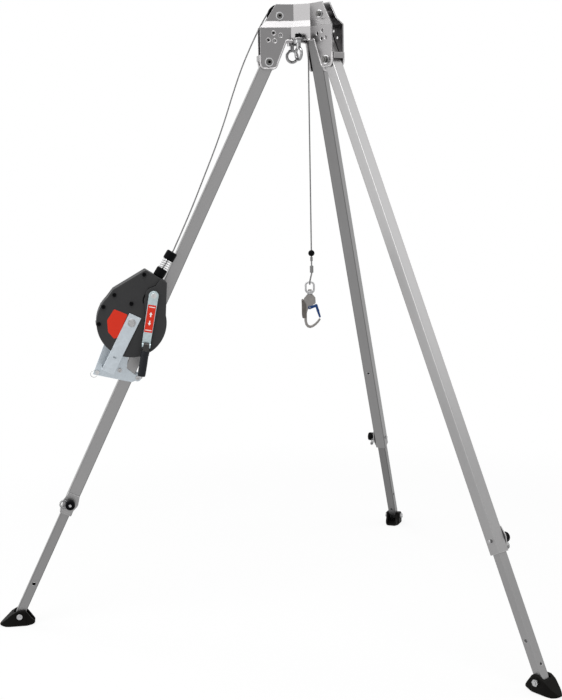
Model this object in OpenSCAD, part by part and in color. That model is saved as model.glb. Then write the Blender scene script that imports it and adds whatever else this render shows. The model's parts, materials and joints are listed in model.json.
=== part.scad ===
// Rescue tripod with a leg-mounted retrieval winch, a wire rope over head pulleys and a swivel hook.
// Millimetres, +Z up, standing on z = 0. Legs a, b and c point front left, rear and front right.

/* [Stance] */
// Distance of the leg pivots from the tripod's axis
pivot_r = 126; // [120:1:140]
// Splay of a leg from the vertical
splay = 26; // [22:0.5:30]
// Distance from a leg's pivot to its foot bolt
leg_reach = 1995; // [1900:5:2100]

/* [Leg tubes] */
// Width of the square upper tube
tube_w = 40; // [38:0.5:41]
// Width of the square lower tube
lower_w = 30; // [26:0.5:32]
// Wall of the lower tube
lower_wall = 3; // [2:0.5:5]
// Sliding clearance on each side between the two tubes
tube_fit = 0.5; // [0.3:0.1:0.8]
// Corner radius of both tubes
tube_round = 3; // [2:0.5:4]
// Length of the upper tube above the pivot
tube_top = 105; // [80:1:105]
// Distance from the pivot to the upper tube's lower end
tube_end = 1620; // [1560:5:1680]
// Extension of a leg from the setting shown
travel = 600; // [400:100:700]
// Distance between two setting holes
index_pitch = 100; // [50:50:200]
// Length of the lower tube above its last setting hole
lower_cover = 80; // [40:5:120]
// Distance from the engaged hole down to the stowing hole
stow_drop = 298; // [250:1:320]
// Diameter of the vent hole near the foot
vent_d = 8; // [5:0.5:10]
// Distance from the foot bolt up to the vent hole
vent_up = 45; // [40:1:60]

/* [Lock pins] */
// Distance from the upper tube's lower end up to the lock pin
pin_up = 40; // [34:1:60]
// Diameter of the lock pin
pin_d = 10; // [8:0.5:12]
// Radial clearance of the lock pin in its holes
pin_fit = 0.3; // [0.2:0.05:0.5]
// Length of the pin's tip past the tube
pin_tip = 7; // [4:0.5:10]
// Diameter of the pin's knob
knob_d = 32; // [26:1:36]
// Depth of the pin's knob
knob_h = 17; // [14:1:22]
// Height of the pin's guide plate
guide_h = 66; // [60:1:70]
// Thickness of the pin's guide plate
guide_t = 3.5; // [2:0.5:4]

/* [Feet] */
// Height of the foot bolt above the floor
foot_bolt_z = 36; // [34:1:40]
// Width of a foot
foot_w = 56; // [50:1:64]
// Distance from the foot bolt to the tip of the toe
toe = 67; // [62:1:76]
// Distance from the foot bolt to the back of the heel
heel = 50; // [47:1:56]
// Radius of the sole's long edges
sole_round = 8; // [4:1:12]
// Diameter of the foot bolt
foot_bolt_d = 10; // [8:0.5:12]

/* [Head] */
// Thickness of the folded head plates
plate = 5; // [4:0.5:6]
// Clearance on each side between a leg and the head plates
leg_fit = 1; // [0.6:0.1:2]
// Step of a wing inwards above the joggle
wing_step = 8; // [6:0.5:10]
// Distance of the lower facets from the tripod's axis
facet_r = 49; // [47:0.5:51]
// Step of a facet inwards above the joggle
facet_step = 12; // [10:0.5:13]
// Height of the joggle's lower edge above the pivots
joggle_z = 109; // [109:0.5:114]
// Height of the joggle
joggle_h = 20; // [16:1:24]
// Height of the head's top edge above the pivots
head_top = 182; // [178:1:190]
// Distance of the wings' outer edge past the pivots
wing_out = 28; // [26:1:32]
// Drop of the wings below the pivots
wing_drop = 20; // [18:1:24]
// Diameter of the pivot bolts
pivot_d = 12; // [10:0.5:14]
// Diameter of the angle setting holes in the wings
angle_hole_d = 9; // [7:0.5:10]
// Height of the stop bars
stop_h = 19; // [14:1:24]
// Thickness of the stop bars
stop_t = 13; // [8:1:16]

/* [Anchor eyes] */
// Distance of an eye from the tripod's axis
eye_r = 72; // [70:1:78]
// Height of an eye's centre above the pivots
eye_z = 23; // [18:1:26]
// Diameter of the eye's hole
eye_hole = 28; // [24:1:30]
// Thickness of the eye's ring
eye_wire = 9.5; // [8:0.5:11]
// Width of the flat land inside the eye
eye_land = 4; // [2:0.5:5]
// Height of the lug's underside above the pivots
lug_z = 66; // [64:1:68]
// Thickness of the lug
lug_t = 6; // [4:0.5:8]
// Width of the lug
lug_w = 44; // [38:1:50]

/* [Rope and pulleys] */
// Diameter of the wire rope
rope_d = 4.8; // [4:0.1:5]
// Radius of the rope's centre line on the leg pulley
leg_wrap = 35; // [33:0.5:36]
// Radius of the rope's centre line on the centre pulley
centre_wrap = 20; // [18:0.5:22]
// Width of both pulleys
pulley_w = 16; // [12:0.5:17]
// Distance of the leg pulley from the tripod's axis
leg_pulley_r = 88; // [86:0.5:92]
// Height of the leg pulley above the pivots
leg_pulley_z = 145; // [144:0.5:147]
// Height of the centre pulley above the pivots
centre_pulley_z = 150; // [146:0.5:154]
// Distance of the hanging rope past the tripod's axis
hang_past = 7; // [0:0.5:12]
// Diameter of the pulley bolts
axle_bolt_d = 10; // [8:0.5:12]
// Thickness of the cheeks beside the pulleys
cheek_t = 3.5; // [2.5:0.5:4]

/* [Winch] */
// Distance along the leg from the pivot to the drum's axis
drum_s = 942; // [900:1:1000]
// Distance of the drum's axis outwards from the leg's centre
drum_n = 66; // [60:1:72]
// Radius of the casing round the drum
case_r = 112; // [108:1:118]
// Depth of the casing
case_d = 72; // [68:1:80]
// Wall of the casing
case_wall = 4; // [3:0.5:5]
// Thickness of the bracket's sheet
bracket_t = 4; // [3:0.5:5]
// Width of the bracket's front arm
arm_w = 41; // [34:1:46]
// Diameter of the drum's axle
axle_d = 16; // [12:1:20]
// Radius of the drum's flanges
drum_r = 80; // [74:1:84]
// Radius of the rope wound on the drum
wound_r = 62; // [50:1:70]
// Module of the gears
gear_m = 3; // [3:0.05:3.1]
// Teeth of the crank's pinion
pinion_teeth = 15; // [14:1:16]
// Teeth of the drum's gear
gear_teeth = 60; // [58:1:62]
// Thickness of the raised cover on the casing
cover_t = 8; // [5:0.5:10]
// Length of the crank's arm between its two axes
crank_len = 160; // [140:5:180]
// Width of the crank's arm
crank_w = 27; // [22:1:32]
// Thickness of the crank's arm
crank_t = 5; // [4:0.5:7]
// Length of the folding grip
grip_len = 84; // [70:2:100]
// Diameter of the folding grip
grip_d = 27; // [22:1:30]
// Diameter of the rope outlet's two buffers
buffer_d = 36; // [30:1:40]
// Length of each buffer
buffer_len = 30; // [24:1:34]
// Gap between the two buffers
buffer_gap = 32; // [26:1:40]
// Wire thickness of the outlet's spring
coil_wire = 2.4; // [1.5:0.1:3]
// Mean diameter of the outlet's spring
coil_d = 30; // [26:0.5:32]
// Turns of the outlet's spring
coil_turns = 4; // [3:1:5]

/* [Hook] */
// Height of the stop ball's centre above the floor
ball_z = 1209; // [1100:1:1300]
// Diameter of the stop ball
ball_d = 21; // [16:0.5:26]
// Direction that the hook's side faces, about the vertical
hook_turn = 21; // [0:1:90]
// Thickness of the hook's body
hook_t = 8; // [6:0.5:10]
// Rod thickness of the swivel link
link_rod = 6.5; // [5:0.5:7]
// Diameter of the swivel's stem
stem_d = 8; // [6:0.5:9]
// Thickness of each side of the gate
gate_t = 2.6; // [2:0.2:4]

/* [Hidden] */
$fn = 48;
run = 0.1;
gap = 0.3;
eps = 0.05;
LEGS = [210, 90, 330];
FACETS = [270, 30, 150];

pivot_z = foot_bolt_z + leg_reach * cos(splay);
foot_r = pivot_r + leg_reach * sin(splay);
toe_r = foot_r + toe;
// Plan of a foot's left half: distance outwards from its bolt, share of half its width
FOOT_PLAN = [
  [toe, 0], [toe - 1, 0.25], [toe - 7, 0.46], [toe - 17, 0.66], [toe - 29, 0.82], [toe - 41, 0.95], [14, 1],
  [-14, 1], [28 - heel, 0.96], [12 - heel, 0.86], [4 - heel, 0.72], [-heel, 0.6], [-heel, 0]
];
foot_front = max([for (p = FOOT_PLAN) (foot_r + p[0]) * sin(30) + p[1] * foot_w / 2 * cos(30)]);
axis_y = (foot_front - toe_r) / 2;
tube_bore = lower_w + 2 * tube_fit;
pin_s = tube_end - pin_up;
lower_start = pin_s - travel - lower_cover;
lower_stub = 12;
foot_slot = lower_w + 2 * tube_fit;

wing_t = tube_w / 2 + leg_fit + plate;
wing_t2 = wing_t - wing_step;
facet_r2 = facet_r - facet_step;
wing_end = pivot_r + wing_out;
pivot_head = 8;
stop_z = 3;
stop_u = pivot_r + (tube_w / 2 + gap - stop_z * sin(splay)) / cos(splay);
// Direction of each eye's hole about its bolt, from straight out
EYE_TURNS = [-42, 15, -16];
// Angle setting holes: distance from the pivot, degrees inwards from straight up
ANGLE_HOLES = [[92, 10], [92, 25], [69, -1], [69, 16]];

hang_r = -hang_past;
centre_pulley_r = hang_r + centre_wrap;
rope_r = rope_d / 2;
groove_r = rope_r + gap;
lead_angle = 38;
between = [centre_pulley_r - leg_pulley_r, centre_pulley_z - leg_pulley_z];
cross_angle = atan2(between[1], between[0]) - acos((leg_wrap - centre_wrap) / norm(between));

case_y0 = tube_w / 2 + bracket_t;
case_y1 = case_y0 + case_d;
mid_y = case_y0 + case_d / 2;
cover_y = case_y1 + cover_t;
crank_y = cover_y + 3;
hinge_y = crank_y + grip_d / 2 + gap;
mesh_r = gear_m * (gear_teeth + pinion_teeth) / 2;
crank_x = -27;
crank_z = sqrt(mesh_r * mesh_r - crank_x * crank_x);
crank_lean = 15.2;
gear_y = mid_y + 12;
gear_w = 10;
outlet_x = -19;
outlet_lean = 6.5;
case_top = 168;
outlet_len = 2 * buffer_len + buffer_gap;
bore_d = rope_d + 1.6;
clamp_z = -165;
clamp_n = tube_w / 2 + 12;

// Heights on the hook, below the stop ball
ferrule_z = [-65, -42];
link_z = [-128, -94];
link_half = 17;
swivel_x = -7;
boss_h = 12;
stem_z = link_z[0] - boss_h + link_rod / 2;
gate_pin = [-1, -181];
gate_pin_d = 5;
lever_pin = [-24.5, -157];
lever_pin_d = 3;

// The rope from the outlet to the leg pulley: outwards from the leg, share of the outlet's sideways distance,
// share of the way up to the leg's pivot
RISER = [
  [36, 0.98, 0.03], [36, 0.94, 0.1], [37, 0.84, 0.22], [41, 0.69, 0.37], [46, 0.52, 0.53], [53, 0.37, 0.66],
  [62, 0.22, 0.78], [68, 0.12, 0.87], [71, 0.05, 0.94], [72, 0.01, 1], [72, 0, 1.07], [71, 0, 1.12],
  [69, 0, 1.165], [66.5, 0, 1.2]
];

// Places

// Head frame of a leg: X outwards, Y to the leg's left, Z up from the pivot height
module on_head(k) translate([0, axis_y, pivot_z]) rotate([0, 0, LEGS[k]]) children();

// Leg frame: origin on the pivot, X outwards from the leg, Y to its left, Z up the leg
module on_leg(k) on_head(k) translate([pivot_r, 0, 0]) rotate([0, -splay, 0]) children();

// Facet frame: X outwards through the facet, Z up from the pivot height
module on_facet(k) translate([0, axis_y, pivot_z]) rotate([0, 0, FACETS[k]]) children();

// Foot frame: origin on the foot bolt, X outwards, Z up
module on_foot(k) translate([0, axis_y, foot_bolt_z]) rotate([0, 0, LEGS[k]]) translate([foot_r, 0, 0]) children();

// Winch frame: on the drum's axis, X outwards from the leg, Y away from the leg's side, Z up the leg
module on_winch() on_leg(0) translate([drum_n, 0, -drum_s]) children();

// Outlet frame inside the winch frame: on the casing's top, Z along the rope
module in_outlet() translate([outlet_x, mid_y, case_top]) rotate([0, -outlet_lean, 0]) children();

// Crank frame: on the crank's axis, Z along the arm and away from the grip
module on_crank() on_winch() translate([crank_x, 0, crank_z]) rotate([0, crank_lean, 0]) children();

// Hook frame: on the hanging rope at the stop ball, X to the hook's open side
module on_hook() on_head(0) translate([hang_r, 0, ball_z - pivot_z]) rotate([0, 0, hook_turn - LEGS[0]]) children();

// Shapes

module along_y(y0, y1, d) translate([0, y0, 0]) rotate([-90, 0, 0]) cylinder(h = y1 - y0, d = d);

module slab_y(y0, y1) translate([0, y1, 0]) rotate([90, 0, 0]) linear_extrude(y1 - y0) children();

module hex_y(y0, y1, across) translate([0, y0, 0]) rotate([-90, 0, 0])
  cylinder(h = y1 - y0, d = across / cos(30), $fn = 6);

module rounded_square(w, r) {
  square([w - 2 * r, w], center = true);
  square([w, w - 2 * r], center = true);
  for (x = [-1, 1], y = [-1, 1]) translate([x * (w / 2 - r), y * (w / 2 - r)]) circle(r);
}

// A rounded bar through a list of points, each with its own half width
module stroke(points) {
  for (p = points) translate([p[0], p[1]]) circle(p[2]);
  for (i = [0 : len(points) - 2]) {
    a = points[i];
    b = points[i + 1];
    side = [a[1] - b[1], b[0] - a[0]] / norm([b[0] - a[0], b[1] - a[1]]);
    wa = side * (a[2] - 0.04);
    wb = side * (b[2] - 0.04);
    polygon([[a[0], a[1]] - wa, [b[0], b[1]] - wb, [b[0], b[1]] + wb, [a[0], a[1]] + wa]);
  }
}

// A bolt along Y with its head on the left and its nut on the right
module bolt_y(y0, y1, d, across, head_h, nut_h) {
  along_y(y0 - nut_h - 2, y1, d);
  difference() {
    along_y(y1, y1 + head_h, across);
    translate([0, y1 + head_h * 0.5, 0]) hex_y(0, head_h, across * 0.45);
  }
  difference() {
    hex_y(y0 - nut_h, y0, across);
    along_y(y0 - nut_h - 1, y0 + 1, d + 2 * run);
  }
}

// Sweeping a round tube along points, with its cross-sections turned about one side direction
function unit(v) = v / norm(v);
function heading(p, i) = unit(p[min(i + 1, len(p) - 1)] - p[max(i - 1, 0)]);
function ring_at(p, i, r, sides, side) =
  let (h = heading(p, i), n = unit(cross(side, h)), b = cross(h, n))
  [for (j = [0 : sides - 1]) p[i] + r * (n * cos(j * 360 / sides) + b * sin(j * 360 / sides))];
function band(i, sides) = [
  for (j = [0 : sides - 1])
    let (a = i * sides + j, b = i * sides + (j + 1) % sides)
    each [[a, b, b + sides], [a, b + sides, a + sides]]
];
module swept_tube(p, r, sides, side) {
  last = (len(p) - 1) * sides;
  rings = [for (i = [0 : len(p) - 1]) each ring_at(p, i, r, sides, side)];
  walls = [for (i = [0 : len(p) - 2]) each band(i, sides)];
  start = [for (j = [1 : sides - 2]) [0, j + 1, j]];
  end = [for (j = [1 : sides - 2]) [last, last + j, last + j + 1]];
  polyhedron(points = rings, faces = [for (f = concat(walls, start, end)) [f[0], f[2], f[1]]]);
}

// Involute gear outline with its first tooth on the X axis
press = 25;
backlash = 0.25;
function involute(rb, a) = rb * [cos(a) + a * PI / 180 * sin(a), sin(a) - a * PI / 180 * cos(a)];
function turned(p, a) = [p[0] * cos(a) - p[1] * sin(a), p[0] * sin(a) + p[1] * cos(a)];
module gear_2d(teeth) {
  rp = gear_m * teeth / 2;
  rb = rp * cos(press);
  ra = rp + gear_m;
  rr = rp - 1.25 * gear_m;
  half = 90 / teeth - backlash / 2 / rp * 180 / PI + tan(press) * 180 / PI - press;
  first = rr > rb ? sqrt(rr * rr / rb / rb - 1) * 180 / PI : 0;
  last = sqrt(ra * ra / rb / rb - 1) * 180 / PI;
  flank = concat(rr < rb ? [[rr, 0]] : [], [for (i = [0 : 3]) involute(rb, first + (last - first) * i / 3)]);
  tooth = concat(
    [for (p = flank) turned(p, -half)],
    [for (i = [len(flank) - 1 : -1 : 0]) turned([flank[i][0], -flank[i][1]], half)]
  );
  polygon([for (k = [0 : teeth - 1]) each [for (p = tooth) turned(p, k * 360 / teeth)]]);
}

// Head

// Plan of a folded plate: centre facet and two wings beside the legs, X outwards through the facet
function bend(r, t) = (r - t * sin(60)) / cos(60);
function plan_point(u, t, s) = [u * cos(60) + t * sin(60), s * (u * sin(60) - t * cos(60))];
function plate_plan(r, t) = [
  plan_point(wing_end + 10, t, -1), plan_point(bend(r, t), t, -1),
  plan_point(bend(r, t), t, 1), plan_point(wing_end + 10, t, 1),
  plan_point(wing_end + 10, t - plate, 1), plan_point(bend(r - plate, t - plate), t - plate, 1),
  plan_point(bend(r - plate, t - plate), t - plate, -1), plan_point(wing_end + 10, t - plate, -1)
];

module joggle() {
  low = plate_plan(facet_r, wing_t);
  high = plate_plan(facet_r2, wing_t2);
  quads = [[0, 1, 6, 7], [1, 2, 5, 6], [2, 3, 4, 5]];
  sides = [for (i = [0 : 7]) [i, (i + 1) % 8, (i + 1) % 8 + 8, i + 8]];
  polyhedron(
    points = concat(
      [for (p = low) [p[0], p[1], joggle_z]],
      [for (p = high) [p[0], p[1], joggle_z + joggle_h]]
    ),
    faces = concat(
      quads,
      [for (q = quads) [for (i = [3 : -1 : 0]) q[i] + 8]],
      [for (s = sides) [for (i = [3 : -1 : 0]) s[i]]]
    )
  );
}

// Side outline of a wing: distance outwards and height above the pivot
module wing_outline() {
  slant_z = joggle_z + joggle_h;
  notch_z = lug_z + lug_t / 2;
  polygon([
    [0, notch_z], [68, notch_z], [pivot_r - wing_drop, -2], [pivot_r, 0], [wing_end, 0],
    [wing_end, joggle_z], [wing_end - 21, slant_z], [wing_end - 54, head_top], [0, head_top]
  ]);
  intersection() {
    translate([pivot_r, 0]) circle(wing_out);
    translate([pivot_r - wing_out, -wing_drop]) square([2 * wing_out, wing_drop + 10]);
  }
  polygon([[pivot_r - wing_out + 3, -10], [pivot_r, 20], [76, notch_z], [68, notch_z]]);
}

// Turned into a wing's own frame: X outwards along the leg, Y across the wing
module in_wing(s) rotate([0, 0, s * 60]) children();

module wing_holes(s) in_wing(s) {
  translate([pivot_r, 0, 0]) along_y(-wing_t - 5, wing_t + 5, pivot_d + 2 * run);
  translate([leg_pulley_r, 0, leg_pulley_z]) along_y(-wing_t - 5, wing_t + 5, axle_bolt_d + 2 * run);
  for (h = ANGLE_HOLES)
    translate([pivot_r - h[0] * sin(h[1]), 0, h[0] * cos(h[1])]) along_y(-wing_t - 5, wing_t + 5, angle_hole_d);
}

module eye_lug() translate([0, 0, lug_z]) linear_extrude(lug_t) {
  translate([facet_r - plate, -lug_w / 2]) square([eye_r - facet_r + plate, lug_w]);
  translate([eye_r, 0]) circle(d = lug_w);
}

module head_plate(k) color("silver") on_facet(k) difference() {
  union() {
    intersection() {
      union() {
        translate([0, 0, -wing_drop - 5])
          linear_extrude(joggle_z + wing_drop + 5 + eps) polygon(plate_plan(facet_r, wing_t));
        joggle();
        translate([0, 0, joggle_z + joggle_h - eps])
          linear_extrude(head_top - joggle_z - joggle_h + eps) polygon(plate_plan(facet_r2, wing_t2));
      }
      union() {
        for (s = [-1, 1]) in_wing(s) slab_y(-wing_t - 1, wing_t + 1) wing_outline();
        translate([0, -facet_r, lug_z]) cube([facet_r + 1, 2 * facet_r, head_top - lug_z]);
      }
    }
    eye_lug();
  }
  for (s = [-1, 1]) wing_holes(s);
  translate([eye_r, 0, lug_z - 1]) cylinder(h = lug_t + 2, d = pivot_d + 2 * run);
}

module stop_bars() color("darkgray") for (k = [0 : 2]) on_head(k) difference() {
  translate([stop_u, -tube_w / 2 - leg_fit, stop_z]) cube([stop_t, tube_w + 2 * leg_fit, stop_h]);
  translate([stop_u + stop_t / 2, 0, stop_z + stop_h / 2]) along_y(-wing_t, wing_t, 5);
}

module pivot_bolts() color("silver") for (k = [0 : 2]) on_head(k) translate([pivot_r, 0, 0])
  bolt_y(-wing_t, wing_t, pivot_d, 20, pivot_head, 10);

module axle_bolts() color("silver") {
  for (k = [0 : 2]) on_head(k) translate([leg_pulley_r, 0, leg_pulley_z])
    bolt_y(-wing_t2, wing_t2, axle_bolt_d, 17, 7, 8);
  on_head(0) translate([centre_pulley_r, 0, centre_pulley_z])
    bolt_y(-wing_t2 + plate, wing_t2 - plate, axle_bolt_d, 15, 4, 5);
}

module head_spacers() color("gray") for (k = [1, 2]) on_head(k) translate([leg_pulley_r, 0, leg_pulley_z])
  difference() {
    along_y(-wing_t2 + plate, wing_t2 - plate, axle_bolt_d + 12);
    along_y(-wing_t2, wing_t2, axle_bolt_d + 2 * run);
  }

module pulley_cheeks() color("gainsboro") on_head(0) for (s = [-1, 1]) {
  y = s * (wing_t2 - plate - cheek_t / 2);
  difference() {
    slab_y(y - cheek_t / 2, y + cheek_t / 2)
      stroke([[leg_pulley_r, leg_pulley_z, 15], [centre_pulley_r, centre_pulley_z, 13]]);
    for (p = [[leg_pulley_r, leg_pulley_z], [centre_pulley_r, centre_pulley_z]])
      translate([p[0], 0, p[1]]) along_y(-wing_t, wing_t, axle_bolt_d + 2 * run);
  }
}

// An eye bolt hanging under each lug, screwed in as far as its thread goes
module on_eye(k) on_facet(k) translate([eye_r, 0, eye_z]) rotate([0, 0, EYE_TURNS[k] - 90]) children();

module anchor_eyes() color("lightsteelblue") for (k = [0 : 2]) on_eye(k) {
  ring_r = eye_hole / 2 + eye_wire / 2;
  difference() {
    union() {
      rotate([90, 0, 0]) rotate_extrude() translate([ring_r, 0]) circle(d = eye_wire);
      cylinder(h = lug_z - eye_z, d = eye_wire * 1.5);
      translate([0, 0, lug_z - eye_z - 10]) cylinder(h = 10, d = 32);
      cylinder(h = lug_z + lug_t + 16 - eye_z, d = pivot_d);
    }
    along_y(-eye_wire, eye_wire, eye_hole + eye_wire * 0.12);
  }
  difference() {
    along_y(-eye_land / 2, eye_land / 2, eye_hole + eye_wire);
    along_y(-eye_land, eye_land, eye_hole);
  }
}

module anchor_nuts() color("black") for (k = [0 : 2]) on_facet(k) translate([eye_r, 0, lug_z + lug_t])
  difference() {
    union() {
      cylinder(h = 2, d = 24);
      cylinder(h = 13, d = 19 / cos(30), $fn = 6);
    }
    translate([0, 0, -1]) cylinder(h = 20, d = pivot_d + 2 * run);
  }

// Pulleys and rope

module pulley(wrap, bore) rotate([90, 0, 0]) rotate_extrude() difference() {
  translate([bore / 2, -pulley_w / 2]) square([wrap + rope_r + 0.6 - bore / 2, pulley_w]);
  translate([wrap, 0]) circle(groove_r);
  polygon([[wrap, groove_r], [wrap, -groove_r], [wrap + 6, -groove_r - 2.5], [wrap + 6, groove_r + 2.5]]);
}

module leg_pulley() color("dimgray") on_head(0) translate([leg_pulley_r, 0, leg_pulley_z])
  pulley(leg_wrap, axle_bolt_d + 2 * run);

module centre_pulley() color("dimgray") on_head(0) translate([centre_pulley_r, 0, centre_pulley_z])
  pulley(centre_wrap, axle_bolt_d + 2 * run);

// Points of the rope on a pulley in the plane of leg a
function arc_points(r, z, wrap, from, to, count) = [
  for (i = [0 : count]) let (a = from + (to - from) * i / count) [r + wrap * cos(a), 0, z + wrap * sin(a)]
];

module rope_over() color("gray") on_head(0) swept_tube(
  concat(
    arc_points(leg_pulley_r, leg_pulley_z, leg_wrap, lead_angle + 0.5, cross_angle, 7),
    arc_points(centre_pulley_r, centre_pulley_z, centre_wrap, cross_angle, 180, 9)
  ), rope_r, 8, [0, 1, 0]);

// The rope's last point before the leg pulley, in the leg frame
lead = [leg_pulley_r + leg_wrap * cos(lead_angle) - pivot_r, leg_pulley_z + leg_wrap * sin(lead_angle)];
lead_end = [lead[0] * cos(splay) + lead[1] * sin(splay), 0, lead[1] * cos(splay) - lead[0] * sin(splay)];

// A point on the outlet's axis in the leg frame, at a height above the casing
function outlet_point(h) = [
  drum_n + outlet_x - h * sin(outlet_lean), mid_y, case_top - drum_s + h * cos(outlet_lean)
];

module rope_riser() color("gray") on_leg(0) {
  top = outlet_point(outlet_len + 2);
  inside = [for (h = [-8, 0, outlet_len / 2, outlet_len + 2]) outlet_point(h)];
  free = [for (p = RISER) [p[0], mid_y * p[1], top[2] * (1 - p[2])]];
  swept_tube(concat(inside, free, [lead_end]), rope_r, 8, [0, 1, 0]);
}

module rope_hang() color("gray") on_head(0) {
  top = centre_pulley_z - gap;
  bottom = ball_z + ball_d / 2 - pivot_z;
  swept_tube([for (i = [0 : 8]) [hang_r, 0, top + (bottom - top) * i / 8]], rope_r, 8, [0, 1, 0]);
}

// Legs

module upper_tube(k) color("silver") on_leg(k) difference() {
  translate([0, 0, -tube_end]) linear_extrude(tube_end + tube_top) difference() {
    rounded_square(tube_w, tube_round);
    rounded_square(tube_bore, tube_round / 2);
  }
  along_y(-tube_w, tube_w, pivot_d + 2 * run);
  translate([0, 0, -pin_s]) along_y(-tube_w, tube_w, pin_d + 2 * pin_fit);
}

// Guide plate on the tube's left, with a boss for the lock pin and a rib below it
boss_t = 5;
pin_seat = tube_w / 2 + guide_t + boss_t;
module pin_guide(k) color("darkgray") on_leg(k) translate([0, 0, -pin_s]) difference() {
  union() {
    slab_y(tube_w / 2, tube_w / 2 + guide_t) polygon([
      [-19.5, guide_h / 2 + 1], [-26, 6], [-26, 0], [-15, 1 - guide_h / 2],
      [15, 1 - guide_h / 2], [26, 0], [26, 6], [19.5, guide_h / 2 + 1]
    ]);
    along_y(tube_w / 2, pin_seat, pin_d + 10);
    translate([-8, 0, 0]) rotate([90, 0, 90]) linear_extrude(16)
      polygon([[tube_w / 2, 4], [tube_w / 2, 3 - guide_h / 2], [pin_seat, -6], [pin_seat, 4]]);
  }
  along_y(0, tube_w, pin_d + 2 * pin_fit);
}

module lock_pin(k) color("black") on_leg(k) translate([0, 0, -pin_s]) {
  along_y(-tube_w / 2 - pin_tip, pin_seat + 6, pin_d);
  along_y(pin_seat + gap, pin_seat + 5, pin_d + 8);
  translate([0, pin_seat + 5, 0]) rotate([-90, 0, 0]) rotate_extrude() intersection() {
    square([knob_d / 2, knob_h]);
    translate([0, knob_h * 0.35]) circle(knob_d / 2 + 1.5);
  }
  along_y(pin_seat + 4, pin_seat + 5 + knob_h + 1.5, 9);
}

module lower_tube(k) color("silver") on_leg(k) difference() {
  translate([0, 0, -leg_reach - lower_stub]) linear_extrude(leg_reach + lower_stub - lower_start) difference() {
    rounded_square(lower_w, tube_round);
    rounded_square(lower_w - 2 * lower_wall, tube_round / 2);
  }
  for (s = [0 : index_pitch : travel]) translate([0, 0, s - pin_s]) along_y(-tube_w, tube_w, pin_d + 2 * pin_fit);
  translate([0, 0, -pin_s - stow_drop]) along_y(-tube_w, tube_w, pin_d + 2 * pin_fit);
  translate([0, 0, -leg_reach]) along_y(-tube_w, tube_w, foot_bolt_d + 2 * run);
  translate([-lower_w, 0, vent_up - leg_reach]) rotate([0, 90, 0]) cylinder(h = 2 * lower_w, d = vent_d);
}

// Rubber foot: two cheeks beside the lower tube, a toe that slopes down in front of it, and an open heel
module foot_outline() polygon([
  [14 - heel, -foot_bolt_z], [toe - 19, -foot_bolt_z], [toe - 9, 2 - foot_bolt_z], [toe - 2, 5 - foot_bolt_z],
  [toe, 8 - foot_bolt_z], [toe - 5, -24], [toe - 13, -17], [toe - 23, -9], [toe - 41, 7], [8, 16.5], [-20, 16.5],
  [16 - heel, -3], [7 - heel, -15], [1 - heel, -22], [-heel, 10 - foot_bolt_z], [5 - heel, 4 - foot_bolt_z]
]);

module foot_plan() polygon(concat(
  [for (p = FOOT_PLAN) [p[0], p[1] * foot_w / 2]],
  [for (i = [len(FOOT_PLAN) - 2 : -1 : 1]) [FOOT_PLAN[i][0], -FOOT_PLAN[i][1] * foot_w / 2]]
));

module foot_section() {
  h = foot_bolt_z;
  w = foot_w / 2;
  translate([-w, sole_round - h]) square([foot_w, 100]);
  translate([sole_round - w, -h]) square([foot_w - 2 * sole_round, 100]);
  for (s = [-1, 1]) translate([s * (w - sole_round), sole_round - h]) circle(sole_round);
}

module foot_recess() {
  clear = lower_w / 2 + 1.5;
  turn_r = norm([lower_w / 2, lower_stub]) + 1.5;
  circle(turn_r);
  polygon([[clear, -4], [clear, 60], [-heel - 10, 60], [-heel - 10, 10 - foot_bolt_z], [-6, 1 - turn_r]]);
}

module foot(k) color("dimgray") on_foot(k) difference() {
  intersection() {
    slab_y(-foot_w / 2, foot_w / 2) foot_outline();
    translate([-100, 0, 0]) rotate([90, 0, 90]) linear_extrude(200) foot_section();
    translate([0, 0, -foot_bolt_z - 1]) linear_extrude(100) foot_plan();
  }
  slab_y(-foot_slot / 2, foot_slot / 2) foot_recess();
  along_y(-foot_w, foot_w, foot_bolt_d + 2 * run);
}

module foot_bolt(k) color("silver") on_foot(k) {
  bolt_y(-foot_w / 2 - gap, foot_w / 2 + gap, foot_bolt_d, 19, 6, 8);
}

// Winch

// Casing outline: round about the drum and narrowing up to the rope outlet
module case_outline(inset) {
  r = case_r - inset;
  top = case_top - inset;
  circle(r);
  rise = tan(outlet_lean);
  right = 28.5 - inset * 0.7;
  left = -50 + inset * 0.7;
  polygon([
    [right, top + (right - outlet_x) * rise], [left, top + (left - outlet_x) * rise], [-r * cos(8), r * sin(8)],
    [0, 0], [r * cos(20), r * sin(20)], [case_r - 15 - inset * 0.8, 74 - inset * 0.4]
  ]);
}

module case_half(y0, y1, outer) difference() {
  slab_y(y0, y1) case_outline(0);
  slab_y(outer > 0 ? y0 - 1 : y0 + case_wall, outer > 0 ? y1 - case_wall : y1 + 1) case_outline(case_wall);
  along_y(y0 - 1, y1 + 1, axle_d + 2 * run);
  in_outlet() translate([0, 0, -40]) cylinder(h = 50, d = bore_d);
}

module case_rear() color("dimgray") on_winch() case_half(case_y0, mid_y, -1);

module case_front() color("dimgray") on_winch() difference() {
  case_half(mid_y, case_y1, 1);
  translate([crank_x, 0, crank_z]) along_y(mid_y, case_y1 + 1, axle_d - 2 + 2 * run);
}

// Raised cover beside the crank
module case_cover() color("black") on_winch() difference() {
  slab_y(case_y1, cover_y) intersection() {
    case_outline(1);
    union() {
      polygon([
        [-60, 170], [-130, 60], [-130, -52], [-62, -62], [-30, 40], [-5, 84], [-5, 122], [-21, 140], [-26, 170]
      ]);
      translate([crank_x, crank_z]) circle(26);
    }
  }
  translate([crank_x, 0, crank_z]) along_y(case_y1 - 1, cover_y + 1, axle_d - 2 + 2 * run);
}

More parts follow.
